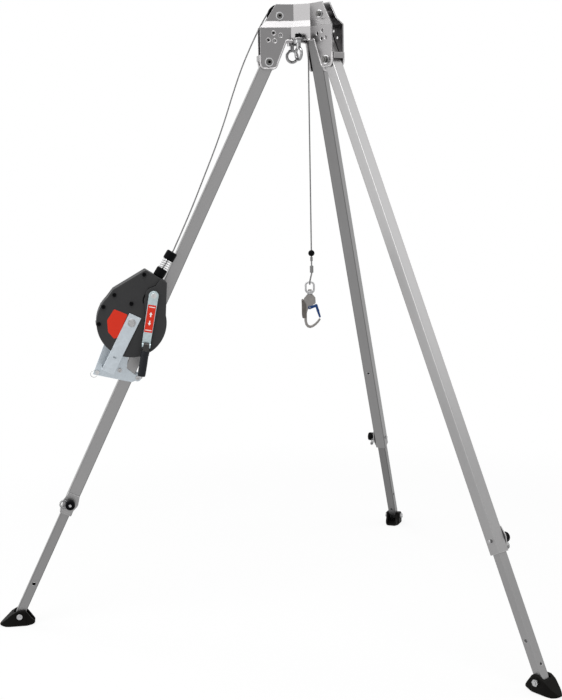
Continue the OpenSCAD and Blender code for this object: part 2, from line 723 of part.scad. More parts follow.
CASE_SCREWS = [[27, 158], [87, 60], [103, 11], [94, -45], [26, 56]];
module case_screws() color("black") on_winch() for (p = CASE_SCREWS) translate([p[0], 0, p[1]]) difference() {
  along_y(case_y1, case_y1 + 5, 13);
  translate([0, case_y1 + 2.5, 0]) hex_y(0, 5, 6);
}

// Folded bracket: plate beside the leg, web under the casing and arm up the casing's front
web_z = -case_r - 60;
module winch_bracket() color("lightsteelblue") on_winch() difference() {
  union() {
    slab_y(tube_w / 2, case_y0) {
      stroke([[0, 0, 20], [0, -60, 20]]);
      polygon([
        [-20, -40], [-20 - drum_n + 34, -150], [-drum_n - clamp_n - 10, clamp_z], [-drum_n - 20, web_z - 14],
        [40, web_z - 40], [47, 6 - case_r], [20, -40]
      ]);
      translate([-drum_n - clamp_n, clamp_z]) circle(12);
    }
    translate([-14, tube_w / 2, web_z - bracket_t]) cube([arm_w, case_y1 - tube_w / 2 + bracket_t, bracket_t]);
    slab_y(case_y1, case_y1 + bracket_t) polygon([
      [-arm_w / 2 - 1, 26], [-14, web_z - bracket_t], [arm_w - 14, web_z - bracket_t], [arm_w / 2 - 1, 26]
    ]);
  }
  along_y(0, case_y1 + 20, 10 + 2 * run);
  for (s = [-1, 1]) translate([s * clamp_n - drum_n, 0, clamp_z]) along_y(0, case_y0 + 1, 8 + 2 * run);
  translate([30, 0, web_z - 28]) along_y(0, case_y0 + 1, 8 + 2 * run);
}

// Plate behind the leg that the two clamp bolts pull against it
module leg_clamp() color("lightsteelblue") on_winch() translate([-drum_n, 0, clamp_z]) difference() {
  slab_y(-tube_w / 2 - bracket_t, -tube_w / 2) stroke([[-clamp_n, 0, 12], [clamp_n, 0, 12]]);
  for (s = [-1, 1]) translate([s * clamp_n, 0, 0]) along_y(-tube_w, 0, 8 + 2 * run);
}

module bracket_bolts() color("silver") on_winch() {
  for (s = [-1, 1]) translate([s * clamp_n - drum_n, 0, clamp_z])
    bolt_y(-tube_w / 2 - bracket_t, case_y0, 8, 14, 5, 7);
  along_y(case_y1 - 14, case_y1 + bracket_t, 10);
  along_y(case_y1 + bracket_t, case_y1 + bracket_t + 5, 18);
}

module bracket_pin() color("silver") on_winch() translate([30, 0, web_z - 28]) {
  along_y(tube_w / 2 - 12, case_y0 + 6, 8);
  along_y(case_y0 + gap, case_y0 + 6, 14);
  translate([8, case_y0 + 4, -9]) rotate([90, 0, 0]) rotate_extrude() translate([11, 0]) circle(1);
}

module drum_axle() color("silver") on_winch() difference() {
  along_y(case_y0, case_y1, axle_d);
  along_y(case_y1 - 14 - run, case_y1 + 1, 10 + 2 * run);
}

drum_y = mid_y - 17;
module drum() color("gray") on_winch() rotate([-90, 0, 0]) rotate_extrude() {
  translate([axle_d / 2 + run, drum_y]) square([26, gear_y - drum_y]);
  translate([axle_d / 2 + run, drum_y]) square([drum_r - axle_d / 2, 3]);
  translate([axle_d / 2 + run, gear_y - 5]) square([drum_r - axle_d / 2, 3]);
}

module wound_rope() color("gray") on_winch() rotate([-90, 0, 0]) rotate_extrude()
  translate([axle_d / 2 + run + 26, drum_y + 3]) square([wound_r - axle_d / 2 - run - 26, gear_y - 8 - drum_y]);

gear_turn = atan2(crank_z, crank_x);
module drive_gear() color("goldenrod") on_winch() difference() {
  slab_y(gear_y, gear_y + gear_w) rotate(gear_turn) gear_2d(gear_teeth);
  along_y(gear_y - 1, gear_y + gear_w + 1, axle_d + 2 * run);
}

module recoil_spring() color("darkgray") on_winch() difference() {
  along_y(case_y0 + case_wall, drum_y - 1, 2 * wound_r);
  along_y(case_y0, drum_y, axle_d + 2 * run);
}

// Crank

module crank_shaft() color("silver") on_winch() translate([crank_x, 0, crank_z]) {
  along_y(gear_y - 4, crank_y, axle_d - 2);
  slab_y(gear_y, gear_y + gear_w) rotate(gear_turn + 180 + 180 / pinion_teeth) gear_2d(pinion_teeth);
}

ear_t = 4;
ear_half = crank_w / 2;
tang_r = hinge_y - crank_y - crank_t - 0.5;
module crank_arm() color("silver") on_crank() {
  slab_y(crank_y, crank_y + crank_t)
    stroke([[0, 0, crank_w / 2 + 2], [0, 6 - crank_len, crank_w / 2], [0, -crank_len, crank_w / 2]]);
  along_y(crank_y + crank_t, crank_y + crank_t + 4, 17);
  for (s = [-1, 1]) translate([s * (ear_half - ear_t / 2) - ear_t / 2, 0, -crank_len])
    rotate([90, 0, 90]) linear_extrude(ear_t) {
      translate([crank_y + crank_t / 2, -tang_r]) square([hinge_y - crank_y - crank_t / 2, 2 * tang_r]);
      translate([hinge_y, 0]) circle(tang_r);
    }
  translate([-ear_half, hinge_y, -crank_len]) rotate([0, 90, 0]) cylinder(h = 2 * ear_half, d = 6);
}

module crank_grip() color("black") on_crank() translate([0, hinge_y, -crank_len]) difference() {
  union() {
    half = ear_half - ear_t - gap;
    start = crank_w / 2 + 3;
    translate([-half, 0, 0]) rotate([0, 90, 0]) cylinder(h = 2 * half, r = tang_r);
    translate([-half, -tang_r, -start - 1]) cube([2 * half, 2 * tang_r, start + 1]);
    translate([0, 0, -start - grip_len]) cylinder(h = grip_len, d = grip_d);
    translate([0, 0, -start - grip_len - 8]) cylinder(h = 9, d = 8);
  }
  translate([-crank_w, 0, 0]) rotate([0, 90, 0]) cylinder(h = 2 * crank_w, d = 6 + 2 * run);
}

// Rope outlet

module buffer(z) on_winch() in_outlet() translate([0, 0, z]) difference() {
  union() {
    cylinder(h = buffer_len, d = buffer_d - 4);
    translate([0, 0, 2]) cylinder(h = buffer_len - 4, d = buffer_d);
  }
  translate([0, 0, -1]) cylinder(h = buffer_len + 2, d = bore_d);
}

module outlet_lower() color("black") buffer(0);

module outlet_upper() color("black") buffer(buffer_len + buffer_gap);

coil_seat = coil_wire / 2 + gap / 2;
coil_rise = (buffer_gap - 2 * coil_seat) / coil_turns;
coil_steps = 8;
coil_points = [
  for (i = [0 : coil_turns * coil_steps])
    let (a = i * 360 / coil_steps)
    [coil_d / 2 * cos(a), coil_d / 2 * sin(a), coil_seat + coil_rise * i / coil_steps]
];
coil_ends = concat(
  [coil_points[0] - [0, coil_wire, 0]], coil_points, [coil_points[len(coil_points) - 1] + [0, coil_wire, 0]]
);
coil_gap = min([
  for (i = [0 : len(coil_points) - 1], j = [i + coil_steps / 2 : 1 : len(coil_points) - 1])
    norm(coil_points[i] - coil_points[j])
]) - coil_wire;
echo(least_gap_in_outlet_spring = coil_gap);

module outlet_spring() color("gainsboro") on_winch() in_outlet() translate([0, 0, buffer_len])
  swept_tube(coil_ends, coil_wire / 2, 6, [0, 0, 1]);

// Rope end and hook

module rope_ball() color("black") on_hook() difference() {
  sphere(d = ball_d);
  translate([0, 0, -ball_d]) cylinder(h = ball_d, d = rope_d + 2 * run);
}

// Tail below the ball, pressed ferrule and the eye through the link
module rope_end() color("gray") on_hook() {
  top = ferrule_z[0];
  half = link_rod / 2;
  bar = link_z[1] - half;
  reach = half + rope_r;
  swept_tube([[0, 0, 0], [0, 0, ferrule_z[1] / 2], [0, 0, ferrule_z[1] - 1]], rope_r, 8, [0, 1, 0]);
  translate([0, 0, ferrule_z[0]]) cylinder(h = ferrule_z[1] - ferrule_z[0], d = 12);
  down = [
    [0, 3, top + 1], [0, 3, top - 2], [swivel_x * 0.5, 6.5, (top + bar) / 2], [swivel_x, reach + 1.8, bar],
    [swivel_x, reach + 1, bar - half - 1], [swivel_x, half + 0.8, bar - reach - 0.4]
  ];
  up = [for (i = [len(down) - 1 : -1 : 0]) [down[i][0], -down[i][1], down[i][2]]];
  swept_tube(concat(down, [[swivel_x, 0, bar - reach - 0.5]], up), rope_r, 8, [1, 0, 0]);
}

module on_swivel() on_hook() translate([swivel_x, 0, 0]) children();

module swivel_link() color("darkgray") on_swivel() difference() {
  union() {
    slab_y(-link_rod / 2, link_rod / 2) difference() {
      x = link_half - link_rod / 2;
      r = link_rod / 2;
      stroke([
        [-x + 8, link_z[1] - r, r], [x - 8, link_z[1] - r, r], [x, link_z[1] - 11, r], [x, link_z[0] + 6, r],
        [x - 8, link_z[0] - r, r], [-x + 8, link_z[0] - r, r], [-x, link_z[0] + 6, r], [-x, link_z[1] - 11, r],
        [-x + 8, link_z[1] - r, r]
      ]);
    }
    translate([0, 0, stem_z]) cylinder(h = boss_h, d = 17);
  }
  translate([0, 0, stem_z - 1]) cylinder(h = boss_h + 2, d = stem_d + 2 * run);
}

// Body: swivel stem, broad top, spine and hook end, with the pins of the gate and the lever
module hook_body() color("gray") on_swivel() {
  translate([0, 0, stem_z - gap - 2]) cylinder(h = boss_h + 2 * gap + 3, d = stem_d);
  translate([0, 0, stem_z + boss_h + gap]) cylinder(h = 4, d = stem_d + 4);
  slab_y(-hook_t / 2, hook_t / 2) {
    polygon([
      [-9, stem_z - gap], [-20, -150], [-20, -200], [-11, -200], [-7, -187], [2, -187], [7, -174], [19, -167],
      [18, -148], [9, stem_z - gap]
    ]);
    translate(gate_pin) circle(6);
    stroke([[-15.5, -190, 4.5], [-15.5, -226, 4.5], [-13, -237, 4.4], [-8, -244, 4.3], [-1, -246.5, 4.2],
      [8, -244, 4], [17, -238, 3.7], [26, -229, 3.5], [31, -222, 3.4]]);
    stroke([[-18, lever_pin[1], 3], [lever_pin[0], lever_pin[1], 3]]);
  }
  translate([gate_pin[0], 0, gate_pin[1]]) along_y(-hook_t / 2 - gate_t - 1, hook_t / 2 + gate_t + 1, gate_pin_d);
  translate([lever_pin[0], 0, lever_pin[1]]) along_y(-hook_t / 2 - 3.2, hook_t / 2 + 3.2, lever_pin_d);
}

// Forked gate: a cheek on each side of the body, joined below the body
module hook_gate() color("royalblue") on_swivel() difference() {
  outer = hook_t / 2 + gap + gate_t;
  path = [[gate_pin[0], gate_pin[1], 6], [12, -178, 4], [21, -175, 4.5], [27, -196, 4], [32, -212, 3.4]];
  union() {
    for (s = [-1, 1]) slab_y(s > 0 ? outer - gate_t : -outer, s > 0 ? outer : gate_t - outer) stroke(path);
    slab_y(-outer, outer) stroke([[25, -189, 3.9], [27, -196, 4], [32, -212, 3.4]]);
  }
  translate([gate_pin[0], 0, gate_pin[1]]) along_y(-outer - 1, outer + 1, gate_pin_d + 2 * run);
}

// Lock lever along the spine: a channel whose cheeks run beside the body
module hook_lever() color("dimgray") on_swivel() difference() {
  slab_y(-hook_t / 2 - gap - 2, hook_t / 2 + gap + 2)
    stroke([[lever_pin[0], lever_pin[1], 4], [-23, -172, 5], [-23, -204, 5], [-22.5, -213, 4]]);
  slab_y(-hook_t / 2 - gap, hook_t / 2 + gap) {
    translate([-25.6, -230]) square([20, 90]);
    translate(lever_pin) circle(4.5);
  }
  translate([lever_pin[0], 0, lever_pin[1]]) along_y(-hook_t, hook_t, lever_pin_d + 2 * run);
}

head_plate(0);  // head_plate_front
head_plate(1);  // head_plate_right
head_plate(2);  // head_plate_left
stop_bars();
pivot_bolts();
axle_bolts();
head_spacers();
pulley_cheeks();
anchor_eyes();
anchor_nuts();
leg_pulley();
centre_pulley();
rope_over();
upper_tube(0);  // upper_tube_a
upper_tube(1);  // upper_tube_b
upper_tube(2);  // upper_tube_c
pin_guide(0);  // pin_guide_a
pin_guide(1);  // pin_guide_b
pin_guide(2);  // pin_guide_c
lock_pin(0);  // lock_pin_a
lock_pin(1);  // lock_pin_b
lock_pin(2);  // lock_pin_c
lower_tube(0);  // lower_tube_a
lower_tube(1);  // lower_tube_b
lower_tube(2);  // lower_tube_c
foot(0);  // foot_a
foot(1);  // foot_b
foot(2);  // foot_c
foot_bolt(0);  // foot_bolt_a
foot_bolt(1);  // foot_bolt_b
foot_bolt(2);  // foot_bolt_c
case_rear();
case_front();
case_cover();
case_screws();
winch_bracket();
leg_clamp();
bracket_bolts();
bracket_pin();
drum_axle();
drum();
wound_rope();
drive_gear();
recoil_spring();
crank_shaft();
crank_arm();
crank_grip();
outlet_lower();
outlet_upper();
outlet_spring();
rope_riser();
rope_hang();
rope_ball();
rope_end();
swivel_link();
hook_body();
hook_gate();
hook_lever();
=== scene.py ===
"""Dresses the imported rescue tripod: stage and camera, wire rope, head, legs, winch and hook."""
import json
import math

import bmesh
import bpy
from mathutils import Matrix, Vector
from mathutils.bvhtree import BVHTree


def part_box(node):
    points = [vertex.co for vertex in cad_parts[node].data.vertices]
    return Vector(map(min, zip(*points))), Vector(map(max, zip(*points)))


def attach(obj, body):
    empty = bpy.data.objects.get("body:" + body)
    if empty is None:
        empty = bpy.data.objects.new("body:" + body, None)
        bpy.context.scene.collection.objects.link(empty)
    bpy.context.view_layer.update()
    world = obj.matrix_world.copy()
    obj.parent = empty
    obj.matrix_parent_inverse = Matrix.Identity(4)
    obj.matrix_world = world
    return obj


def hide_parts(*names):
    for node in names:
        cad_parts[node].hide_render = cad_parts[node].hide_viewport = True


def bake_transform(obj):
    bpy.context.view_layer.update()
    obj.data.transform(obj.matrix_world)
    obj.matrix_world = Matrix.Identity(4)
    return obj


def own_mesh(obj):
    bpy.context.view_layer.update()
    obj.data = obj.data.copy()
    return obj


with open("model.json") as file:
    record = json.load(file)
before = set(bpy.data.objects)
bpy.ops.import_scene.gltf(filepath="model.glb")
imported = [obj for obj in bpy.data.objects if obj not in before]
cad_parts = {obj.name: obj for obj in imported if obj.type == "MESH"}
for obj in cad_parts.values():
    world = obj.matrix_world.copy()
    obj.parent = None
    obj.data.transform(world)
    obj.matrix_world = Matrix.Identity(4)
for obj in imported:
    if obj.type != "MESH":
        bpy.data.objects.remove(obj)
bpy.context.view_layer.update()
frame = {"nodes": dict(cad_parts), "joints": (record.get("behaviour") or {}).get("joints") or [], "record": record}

bl_info = {
    "name": "Rescue tripod",
    "version": (1, 0, 0),
    "blender": (4, 5, 0),
    "location": "3D View > Sidebar > Tripod",
    "description": "Builds the look of a rescue tripod on its packed frame",
    "category": "Object",
}

MM = 0.001
FULL_TURN = 2 * math.pi
UP = Vector((0, 0, 1))


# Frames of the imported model. Lengths given in a frame are in millimetres.


def joint(name):
    return next(j for j in frame["joints"] if j["name"] == name)


def axis_of(name):
    return Vector(joint(name)["axis"]).normalized()


def spot_of(name):
    return Vector(joint(name)["pos_m"])


def placed(x, y, z, origin):
    m = Matrix((x, y, z)).transposed().to_4x4()
    m.translation = origin
    return m


def point(place, x, y, z):
    return place @ (Vector((x, y, z)) * MM)


def shifted(place, x, y, z):
    """A frame moved along its own axes."""
    return place @ Matrix.Translation(Vector((x, y, z)) * MM)


def rotated(axis, degrees):
    return Matrix.Rotation(math.radians(degrees), 4, axis)


PIVOT = {k: spot_of("leg_fold_" + k) for k in "abc"}
CENTRE = (PIVOT["a"] + PIVOT["b"] + PIVOT["c"]) / 3
AXIS_FOOT = Vector((CENTRE.x, CENTRE.y, 0))


def upright(out):
    """X along a level direction, Y to its left, Z up, on the tripod's axis at the pivots' height."""
    return placed(out, UP.cross(out), UP, CENTRE)


def facet_frame(degrees):
    a = math.radians(degrees)
    return upright(Vector((math.cos(a), math.sin(a), 0)))


def leg_frame(k, origin):
    """X outwards from leg k, Y to its left, Z up the leg."""
    side, rise = axis_of("leg_fold_" + k), -axis_of("leg_extend_" + k)
    return placed(side.cross(rise), side, rise, origin)


def crank_frame():
    """X along the grip's hinge, Y out of the casing, on the crank's axis."""
    x, y = axis_of("grip_fold"), axis_of("leg_fold_a")
    return placed(x, y, x.cross(y), spot_of("crank_turn"))


def hook_frame():
    """X to the hook's open side, Z up, on the swivel's axis at the stop ball's height."""
    y, swivel = axis_of("gate_open"), spot_of("hook_swivel")
    low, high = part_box("rope_ball")
    return placed(y.cross(UP), y, UP, Vector((swivel.x, swivel.y, (low[2] + high[2]) / 2)))


HEAD = {k: upright((PIVOT[k] - CENTRE).normalized()) for k in "abc"}
FACET = {"front": facet_frame(270), "right": facet_frame(30), "left": facet_frame(150)}
LEG = {k: leg_frame(k, PIVOT[k]) for k in "abc"}
WINCH = leg_frame("a", spot_of("drum_turn"))
CRANK = crank_frame()
HOOK = hook_frame()


# Sizes and colours a user would change


class TripodStage(bpy.types.PropertyGroup):
    camera_at: bpy.props.FloatVectorProperty(
        name="Camera", description="Where the camera stands, from the tripod's axis", size=3,
        default=(1.4309, -4.0152, 1.5386), subtype="TRANSLATION", unit="LENGTH")
    azimuth: bpy.props.FloatProperty(
        name="Azimuth", description="Turn of the view about the vertical",
        default=math.radians(20.96), subtype="ANGLE")
    tilt: bpy.props.FloatProperty(
        name="Tilt", description="How far the camera looks down", default=math.radians(8.71), subtype="ANGLE")
    roll: bpy.props.FloatProperty(
        name="Roll", description="Roll of the camera", default=math.radians(-1.09), subtype="ANGLE")
    lens: bpy.props.FloatProperty(
        name="Lens", description="Focal length for a 36 mm high picture", default=66.01)
    floor: bpy.props.FloatVectorProperty(
        name="Floor", description="Colour of the floor", size=3, default=(0.9, 0.9, 0.9), subtype="COLOR")
    glow: bpy.props.FloatProperty(
        name="Glow", description="Share of plain white in the floor near the feet",
        default=0.88, subtype="FACTOR")


class TripodMetal(bpy.types.PropertyGroup):
    plate: bpy.props.FloatVectorProperty(
        name="Plates", description="Alloy of the head plates", size=3,
        default=(0.235, 0.230, 0.232), subtype="COLOR")
    tube: bpy.props.FloatVectorProperty(
        name="Tubes", description="Alloy of the leg tubes", size=3,
        default=(0.30, 0.297, 0.298), subtype="COLOR")
    steel: bpy.props.FloatVectorProperty(
        name="Steel", description="Plated bolts and rings", size=3,
        default=(0.42, 0.42, 0.425), subtype="COLOR")
    zinc: bpy.props.FloatVectorProperty(
        name="Zinc", description="Galvanised bracket", size=3, default=(0.52, 0.57, 0.61), subtype="COLOR")
    edge: bpy.props.FloatProperty(
        name="Edge", description="Rounding of plate edges", default=0.8 * MM, unit="LENGTH")
    bead: bpy.props.FloatProperty(
        name="Bead", description="Radius of the rolled bead along the head plates' lower edges",
        default=3.3 * MM, unit="LENGTH")


class TripodRope(bpy.types.PropertyGroup):
    diameter: bpy.props.FloatProperty(
        name="Diameter", description="Thickness of the wire rope", default=4.8 * MM, unit="LENGTH")
    lay: bpy.props.FloatProperty(
        name="Lay", description="Length of one turn of the strands", default=30 * MM, unit="LENGTH")
    strands: bpy.props.IntProperty(name="Strands", description="Strands in the rope", default=6)
    colour: bpy.props.FloatVectorProperty(
        name="Rope", description="Colour of the wire", size=3, default=(0.24, 0.24, 0.24), subtype="COLOR")


class TripodWinch(bpy.types.PropertyGroup):
    case: bpy.props.FloatVectorProperty(
        name="Casing", description="Moulded casing", size=3, default=(0.040, 0.040, 0.041), subtype="COLOR")
    label: bpy.props.FloatVectorProperty(
        name="Field", description="Coloured field on the casing", size=3,
        default=(0.63, 0.032, 0.014), subtype="COLOR")
    rubber: bpy.props.FloatVectorProperty(
        name="Rubber", description="Rubber of the feet", size=3,
        default=(0.004, 0.0036, 0.0032), subtype="COLOR")


class TripodHook(bpy.types.PropertyGroup):
    gate: bpy.props.FloatVectorProperty(
        name="Gate", description="Anodised gate", size=3, default=(0.014, 0.045, 0.15), subtype="COLOR")
    body: bpy.props.FloatVectorProperty(
        name="Body", description="Hook body", size=3, default=(0.25, 0.238, 0.228), subtype="COLOR")


# Node trees


def wire(tree, kind, inputs=None, **settings):
    """A new node with its settings, each input linked to a socket or set to a value."""
    n = tree.nodes.new(kind)
    for key, value in settings.items():
        setattr(n, key, value)
    for key, value in (inputs or {}).items():
        if isinstance(value, bpy.types.NodeSocket):
            tree.links.new(value, n.inputs[key])
        else:
            n.inputs[key].default_value = value
    return n


def maths(tree, operation, *values):
    return wire(tree, "ShaderNodeMath", dict(enumerate(values)), operation=operation).outputs[0]


def geometry_tree(name, **inputs):
    """A geometry node group, the outputs of its input node, and the keys a modifier has for its inputs."""
    tree = bpy.data.node_groups.new(name, "GeometryNodeTree")
    keys = {
        label: tree.interface.new_socket(label, in_out="INPUT", socket_type="NodeSocket" + kind).identifier
        for label, kind in inputs.items()}
    tree.interface.new_socket("Geometry", in_out="OUTPUT", socket_type="NodeSocketGeometry")
    return tree, wire(tree, "NodeGroupInput").outputs, keys


def give_out(tree, geometry, material):
    """Ends a geometry node group with plain geometry in one material."""
    real = wire(tree, "GeometryNodeRealizeInstances", {"Geometry": geometry}).outputs["Geometry"]
    paint = wire(tree, "GeometryNodeSetMaterial", {"Geometry": real, "Material": material})
    wire(tree, "NodeGroupOutput", {0: paint.outputs["Geometry"]})


# Materials

# Where the painted glint on a tube's corner fades in, in metres up the leg from the row frame's origin
GLINT_FADE = (0.05, 0.75)
# How bright each leg's upper and lower tube are painted: painted light and shade, each leg lighter or darker as
# the light falls on it
TUBE_PAINTED_LIGHT = {"a": (1.0, 0.86), "b": (0.83, 0.60), "c": (1.06, 0.94)}


class Finish:
    """A node material on object coordinates, with a few helpers to wire it."""

    def __init__(self, name, metallic, specular=0.5):
        self.material = bpy.data.materials.new(name)
        self.material.use_nodes = True
        self.tree = self.material.node_tree
        self.shader = self.tree.nodes["Principled BSDF"]
        self.shader.inputs["Metallic"].default_value = metallic
        self.shader.inputs["Specular IOR Level"].default_value = specular
        self.coordinates = self.node("ShaderNodeTexCoord").outputs["Object"]

    def node(self, kind, inputs=None, **settings):
        return wire(self.tree, kind, inputs, **settings)

    def turned(self, matrix):
        """Turns the coordinates to a frame's axes, so that a pattern runs along a leg."""
        turn = matrix.to_3x3().inverted().to_euler()
        mapping = self.node("ShaderNodeMapping", {"Vector": self.coordinates, "Rotation": turn})
        self.coordinates = mapping.outputs["Vector"]

    def noise(self, scale, detail=3.0, rough=0.55, stretch=None):
        at = self.coordinates
        if stretch:
            at = self.node("ShaderNodeMapping", {"Vector": at, "Scale": stretch}).outputs["Vector"]
        inputs = {"Vector": at, "Scale": scale, "Detail": detail, "Roughness": rough}
        return self.node("ShaderNodeTexNoise", inputs).outputs["Fac"]

    def mix(self, factor, a, b):
        return self.node("ShaderNodeMix", {0: factor, 6: a, 7: b}, data_type="RGBA").outputs[2]

    def between(self, value, low, high, start=0.3, end=0.7):
        """Maps the start to the end of a value to the low and the high."""
        inputs = {"Value": value, "From Min": start, "From Max": end, "To Min": low, "To Max": high}
        return self.node("ShaderNodeMapRange", inputs).outputs["Result"]

    def clouded(self, clouds, colour, dark, light):
        return self.mix(self.between(clouds, 0, 1), shade(colour, dark), shade(colour, light))

    def bump(self, height, distance, strength=0.5):
        inputs = {"Height": height, "Distance": distance, "Strength": strength}
        return self.node("ShaderNodeBump", inputs).outputs["Normal"]

    def mark(self, name):
        """One on the faces or points that carry a mark."""
        return self.node("ShaderNodeAttribute", attribute_name=name).outputs["Fac"]

    def worn(self, base, bright):
        """A base that is rubbed bright on rounded edges, broken up by noise."""
        patches = self.between(self.noise(60, 4), 0.25, 1.0, 0.35, 0.6)
        return self.mix(maths(self.tree, "MULTIPLY", self.mark("edge"), patches), base, bright)

    def done(self, base, roughness, normal):
        for output, name in ((base, "Base Color"), (roughness, "Roughness"), (normal, "Normal")):
            self.tree.links.new(output, self.shader.inputs[name])
        return self.material


def tint(colour, factor):
    return tuple(min(1.0, c * factor) for c in colour)


def shade(colour, factor):
    return tint(colour, factor) + (1.0,)


def alloy_finish(name, colour, leg):
    """Drawn tube: fine lines along the leg, faint clouds of anodising, painted highlights on rounded edges,
    painted shade on the long corners and a painted glint on one.
    """
    f = Finish(name, 1.0)
    f.turned(leg)
    lines, clouds = f.noise(1.0, 2, 0.5, (700, 700, 4)), f.noise(5, 2)
    base = f.clouded(clouds, colour, 0.98, 1.02)
    base = f.mix(f.between(lines, 0.0, 0.3), base, shade(colour, 0.94))
    # Painted highlight along the rounded edges
    base = f.mix(f.mark("edge"), base, shade(colour, 1.6))
    # Painted shade, a dark reflection, along the long corners
    base = f.mix(f.mark("corner"), base, shade(colour, 0.62))
    # Painted glint: a highlight on one corner, fading in up the leg
    along = f.node("ShaderNodeSeparateXYZ", {"Vector": f.coordinates}).outputs["Z"]
    glint = maths(f.tree, "MULTIPLY", f.mark("glint"), f.between(along, 0, 1, *GLINT_FADE))
    base = f.mix(glint, base, shade(colour, 2.6))
    return f.done(base, f.between(clouds, 0.345, 0.375), f.bump(lines, 0.02 * MM, 0.15))


def plate_finish(name, colour):
    """Rolled plate: faint upright rolling lines and a few handling marks."""
    f = Finish(name, 1.0)
    rolled, clouds = f.noise(1.0, 2, 0.5, (500, 500, 10)), f.noise(8, 2)
    scuffs = f.noise(1.0, 4, 0.6, (40, 40, 300))
    base = f.clouded(clouds, colour, 0.98, 1.02)
    base = f.mix(f.between(rolled, 0.0, 0.25), base, shade(colour, 0.93))
    base = f.mix(f.between(scuffs, 0.0, 0.2, 0.64, 0.76), base, shade(colour, 1.25))
    base = f.worn(base, shade(colour, 1.6))
    return f.done(base, f.between(clouds, 0.26, 0.30), f.bump(rolled, 0.02 * MM, 0.15))


def plated_finish(name, colour, roughness):
    """Plated or turned steel with a slightly uneven gloss."""
    f = Finish(name, 1.0)
    clouds = f.noise(90)
    base = f.worn(f.clouded(clouds, colour, 0.86, 1.08), shade(colour, 1.3))
    gloss = f.between(clouds, roughness - 0.06, roughness + 0.12)
    return f.done(base, gloss, f.bump(f.noise(600, 2), 0.03 * MM))


def zinc_finish(name, colour):
    """Galvanised sheet: pale blue-grey flakes."""
    f = Finish(name, 0.85)
    flakes = f.node("ShaderNodeTexVoronoi", {"Vector": f.coordinates, "Scale": 140.0}).outputs["Color"]
    grey = f.node("ShaderNodeSeparateColor", {"Color": flakes}).outputs["Red"]
    clouds = f.noise(30)
    base = f.mix(f.between(grey, 0, 1, 0, 1), shade(colour, 0.93), shade(colour, 1.06))
    base = f.mix(f.between(clouds, 0, 0.5), base, shade(colour, 0.92))
    base = f.worn(base, shade(colour, 1.3))
    return f.done(base, f.between(grey, 0.34, 0.48, 0, 1), f.bump(clouds, 0.1 * MM, 0.4))


def moulded_finish(
        name, colour, roughness, grain=1100, depth=0.06, specular=0.15, uneven=0.04, rub=1.5):
    """Moulded plastic, rubber or foil with a fine grain."""
    f = Finish(name, 0.0, specular)
    fine, clouds = f.noise(grain), f.noise(35)
    base = f.worn(f.clouded(clouds, colour, 1 - uneven, 1 + uneven), shade(colour, rub))
    gloss = f.between(clouds, roughness - 0.05, roughness + 0.06)
    return f.done(base, gloss, f.bump(fine, depth * MM, 0.6))


def rope_finish(name, colour):
    """Wire strands, with painted shade in the grooves between them."""
    f = Finish(name, 1.0)
    clouds = f.noise(140)
    # Painted shade in the grooves between the strands
    base = f.mix(f.mark("groove"), f.clouded(clouds, colour, 0.85, 1.2), shade(colour, 0.25))
    return f.done(base, f.between(clouds, 0.32, 0.5), f.bump(f.noise(1500, 2), 0.03 * MM))


def anodised_finish(name, colour):
    """Dyed alloy, paler where it is rubbed."""
    f = Finish(name, 0.8)
    clouds = f.noise(120)
    base = f.worn(f.clouded(clouds, colour, 0.85, 1.2), (0.16, 0.20, 0.28, 1))
    return f.done(base, f.between(clouds, 0.30, 0.42), f.bump(f.noise(900, 2), 0.03 * MM))


FINISH = {}


def make_finishes(scene):
    metal, winch, hook = scene.tripod_metal, scene.tripod_winch, scene.tripod_hook
    # Lit and shaded copies of the tube alloy, one for each leg's upper and lower tube: painted light and shade
    for k, painted_light in TUBE_PAINTED_LIGHT.items():
        for part, factor in zip(("upper_", "lower_"), painted_light):
            FINISH[part + k] = alloy_finish("drawn_alloy_" + part + k, tint(metal.tube, factor), LEG[k])
    plated = (
        # Painted highlight: the plates' alloy painted 2.2 times lighter for the rolled bead and the eyelets, where
        # light catches them
        ("bead", "rubbed_alloy", tint(metal.plate, 2.2), 0.30),
        ("steel", "plated_steel", metal.steel, 0.24),
        ("bright", "polished_steel", tint(metal.steel, 1.3), 0.16),
        # Painted reflection: chrome painted darker than the steel, standing in for the dark reflections it shows
        ("chrome", "chromed_steel", tint(metal.steel, 0.75), 0.12),
        ("dark", "dark_steel", (0.055, 0.053, 0.052), 0.34),
        ("bolt", "blackened_steel", (0.13, 0.128, 0.125), 0.30),
        ("crank", "zinc_plated_steel", (0.46, 0.54, 0.56), 0.30),
        ("ferrule", "pressed_ferrule", (0.20, 0.20, 0.20), 0.34),
        ("forged", "forged_alloy", hook.body, 0.32),
        ("lever", "bronzed_steel", (0.13, 0.119, 0.11), 0.38),
    )
    for key, *row in plated:
        FINISH[key] = plated_finish(*row)
    foil = {"grain": 500, "depth": 0.02, "uneven": 0.01}
    moulded = (
        ("case", "charcoal_moulding", winch.case, 0.5, {"specular": 0.08, "rub": 1.1}),
        ("black", "black_moulding", (0.0025, 0.0025, 0.003), 0.42, {"specular": 0.04}),
        ("rubber", "black_rubber", winch.rubber, 0.5, {"grain": 700, "depth": 0.1, "specular": 0.06}),
        ("grip", "grip_rubber", (0.012, 0.013, 0.016), 0.45, {"grain": 900, "depth": 0.08}),
        ("label", "red_foil", winch.label, 0.38, foil),
        ("white", "white_foil", (0.85, 0.84, 0.83), 0.4, foil),
    )
    for key, name, colour, roughness, more in moulded:
        FINISH[key] = moulded_finish(name, colour, roughness, **more)
    FINISH["plate"] = plate_finish("rolled_alloy", metal.plate)
    FINISH["zinc"] = zinc_finish("galvanised_sheet", metal.zinc)
    FINISH["rope"] = rope_finish("wire_strands", scene.tripod_rope.colour)
    FINISH["gate"] = anodised_finish("blue_anodised", hook.gate)


# Pieces and meshes


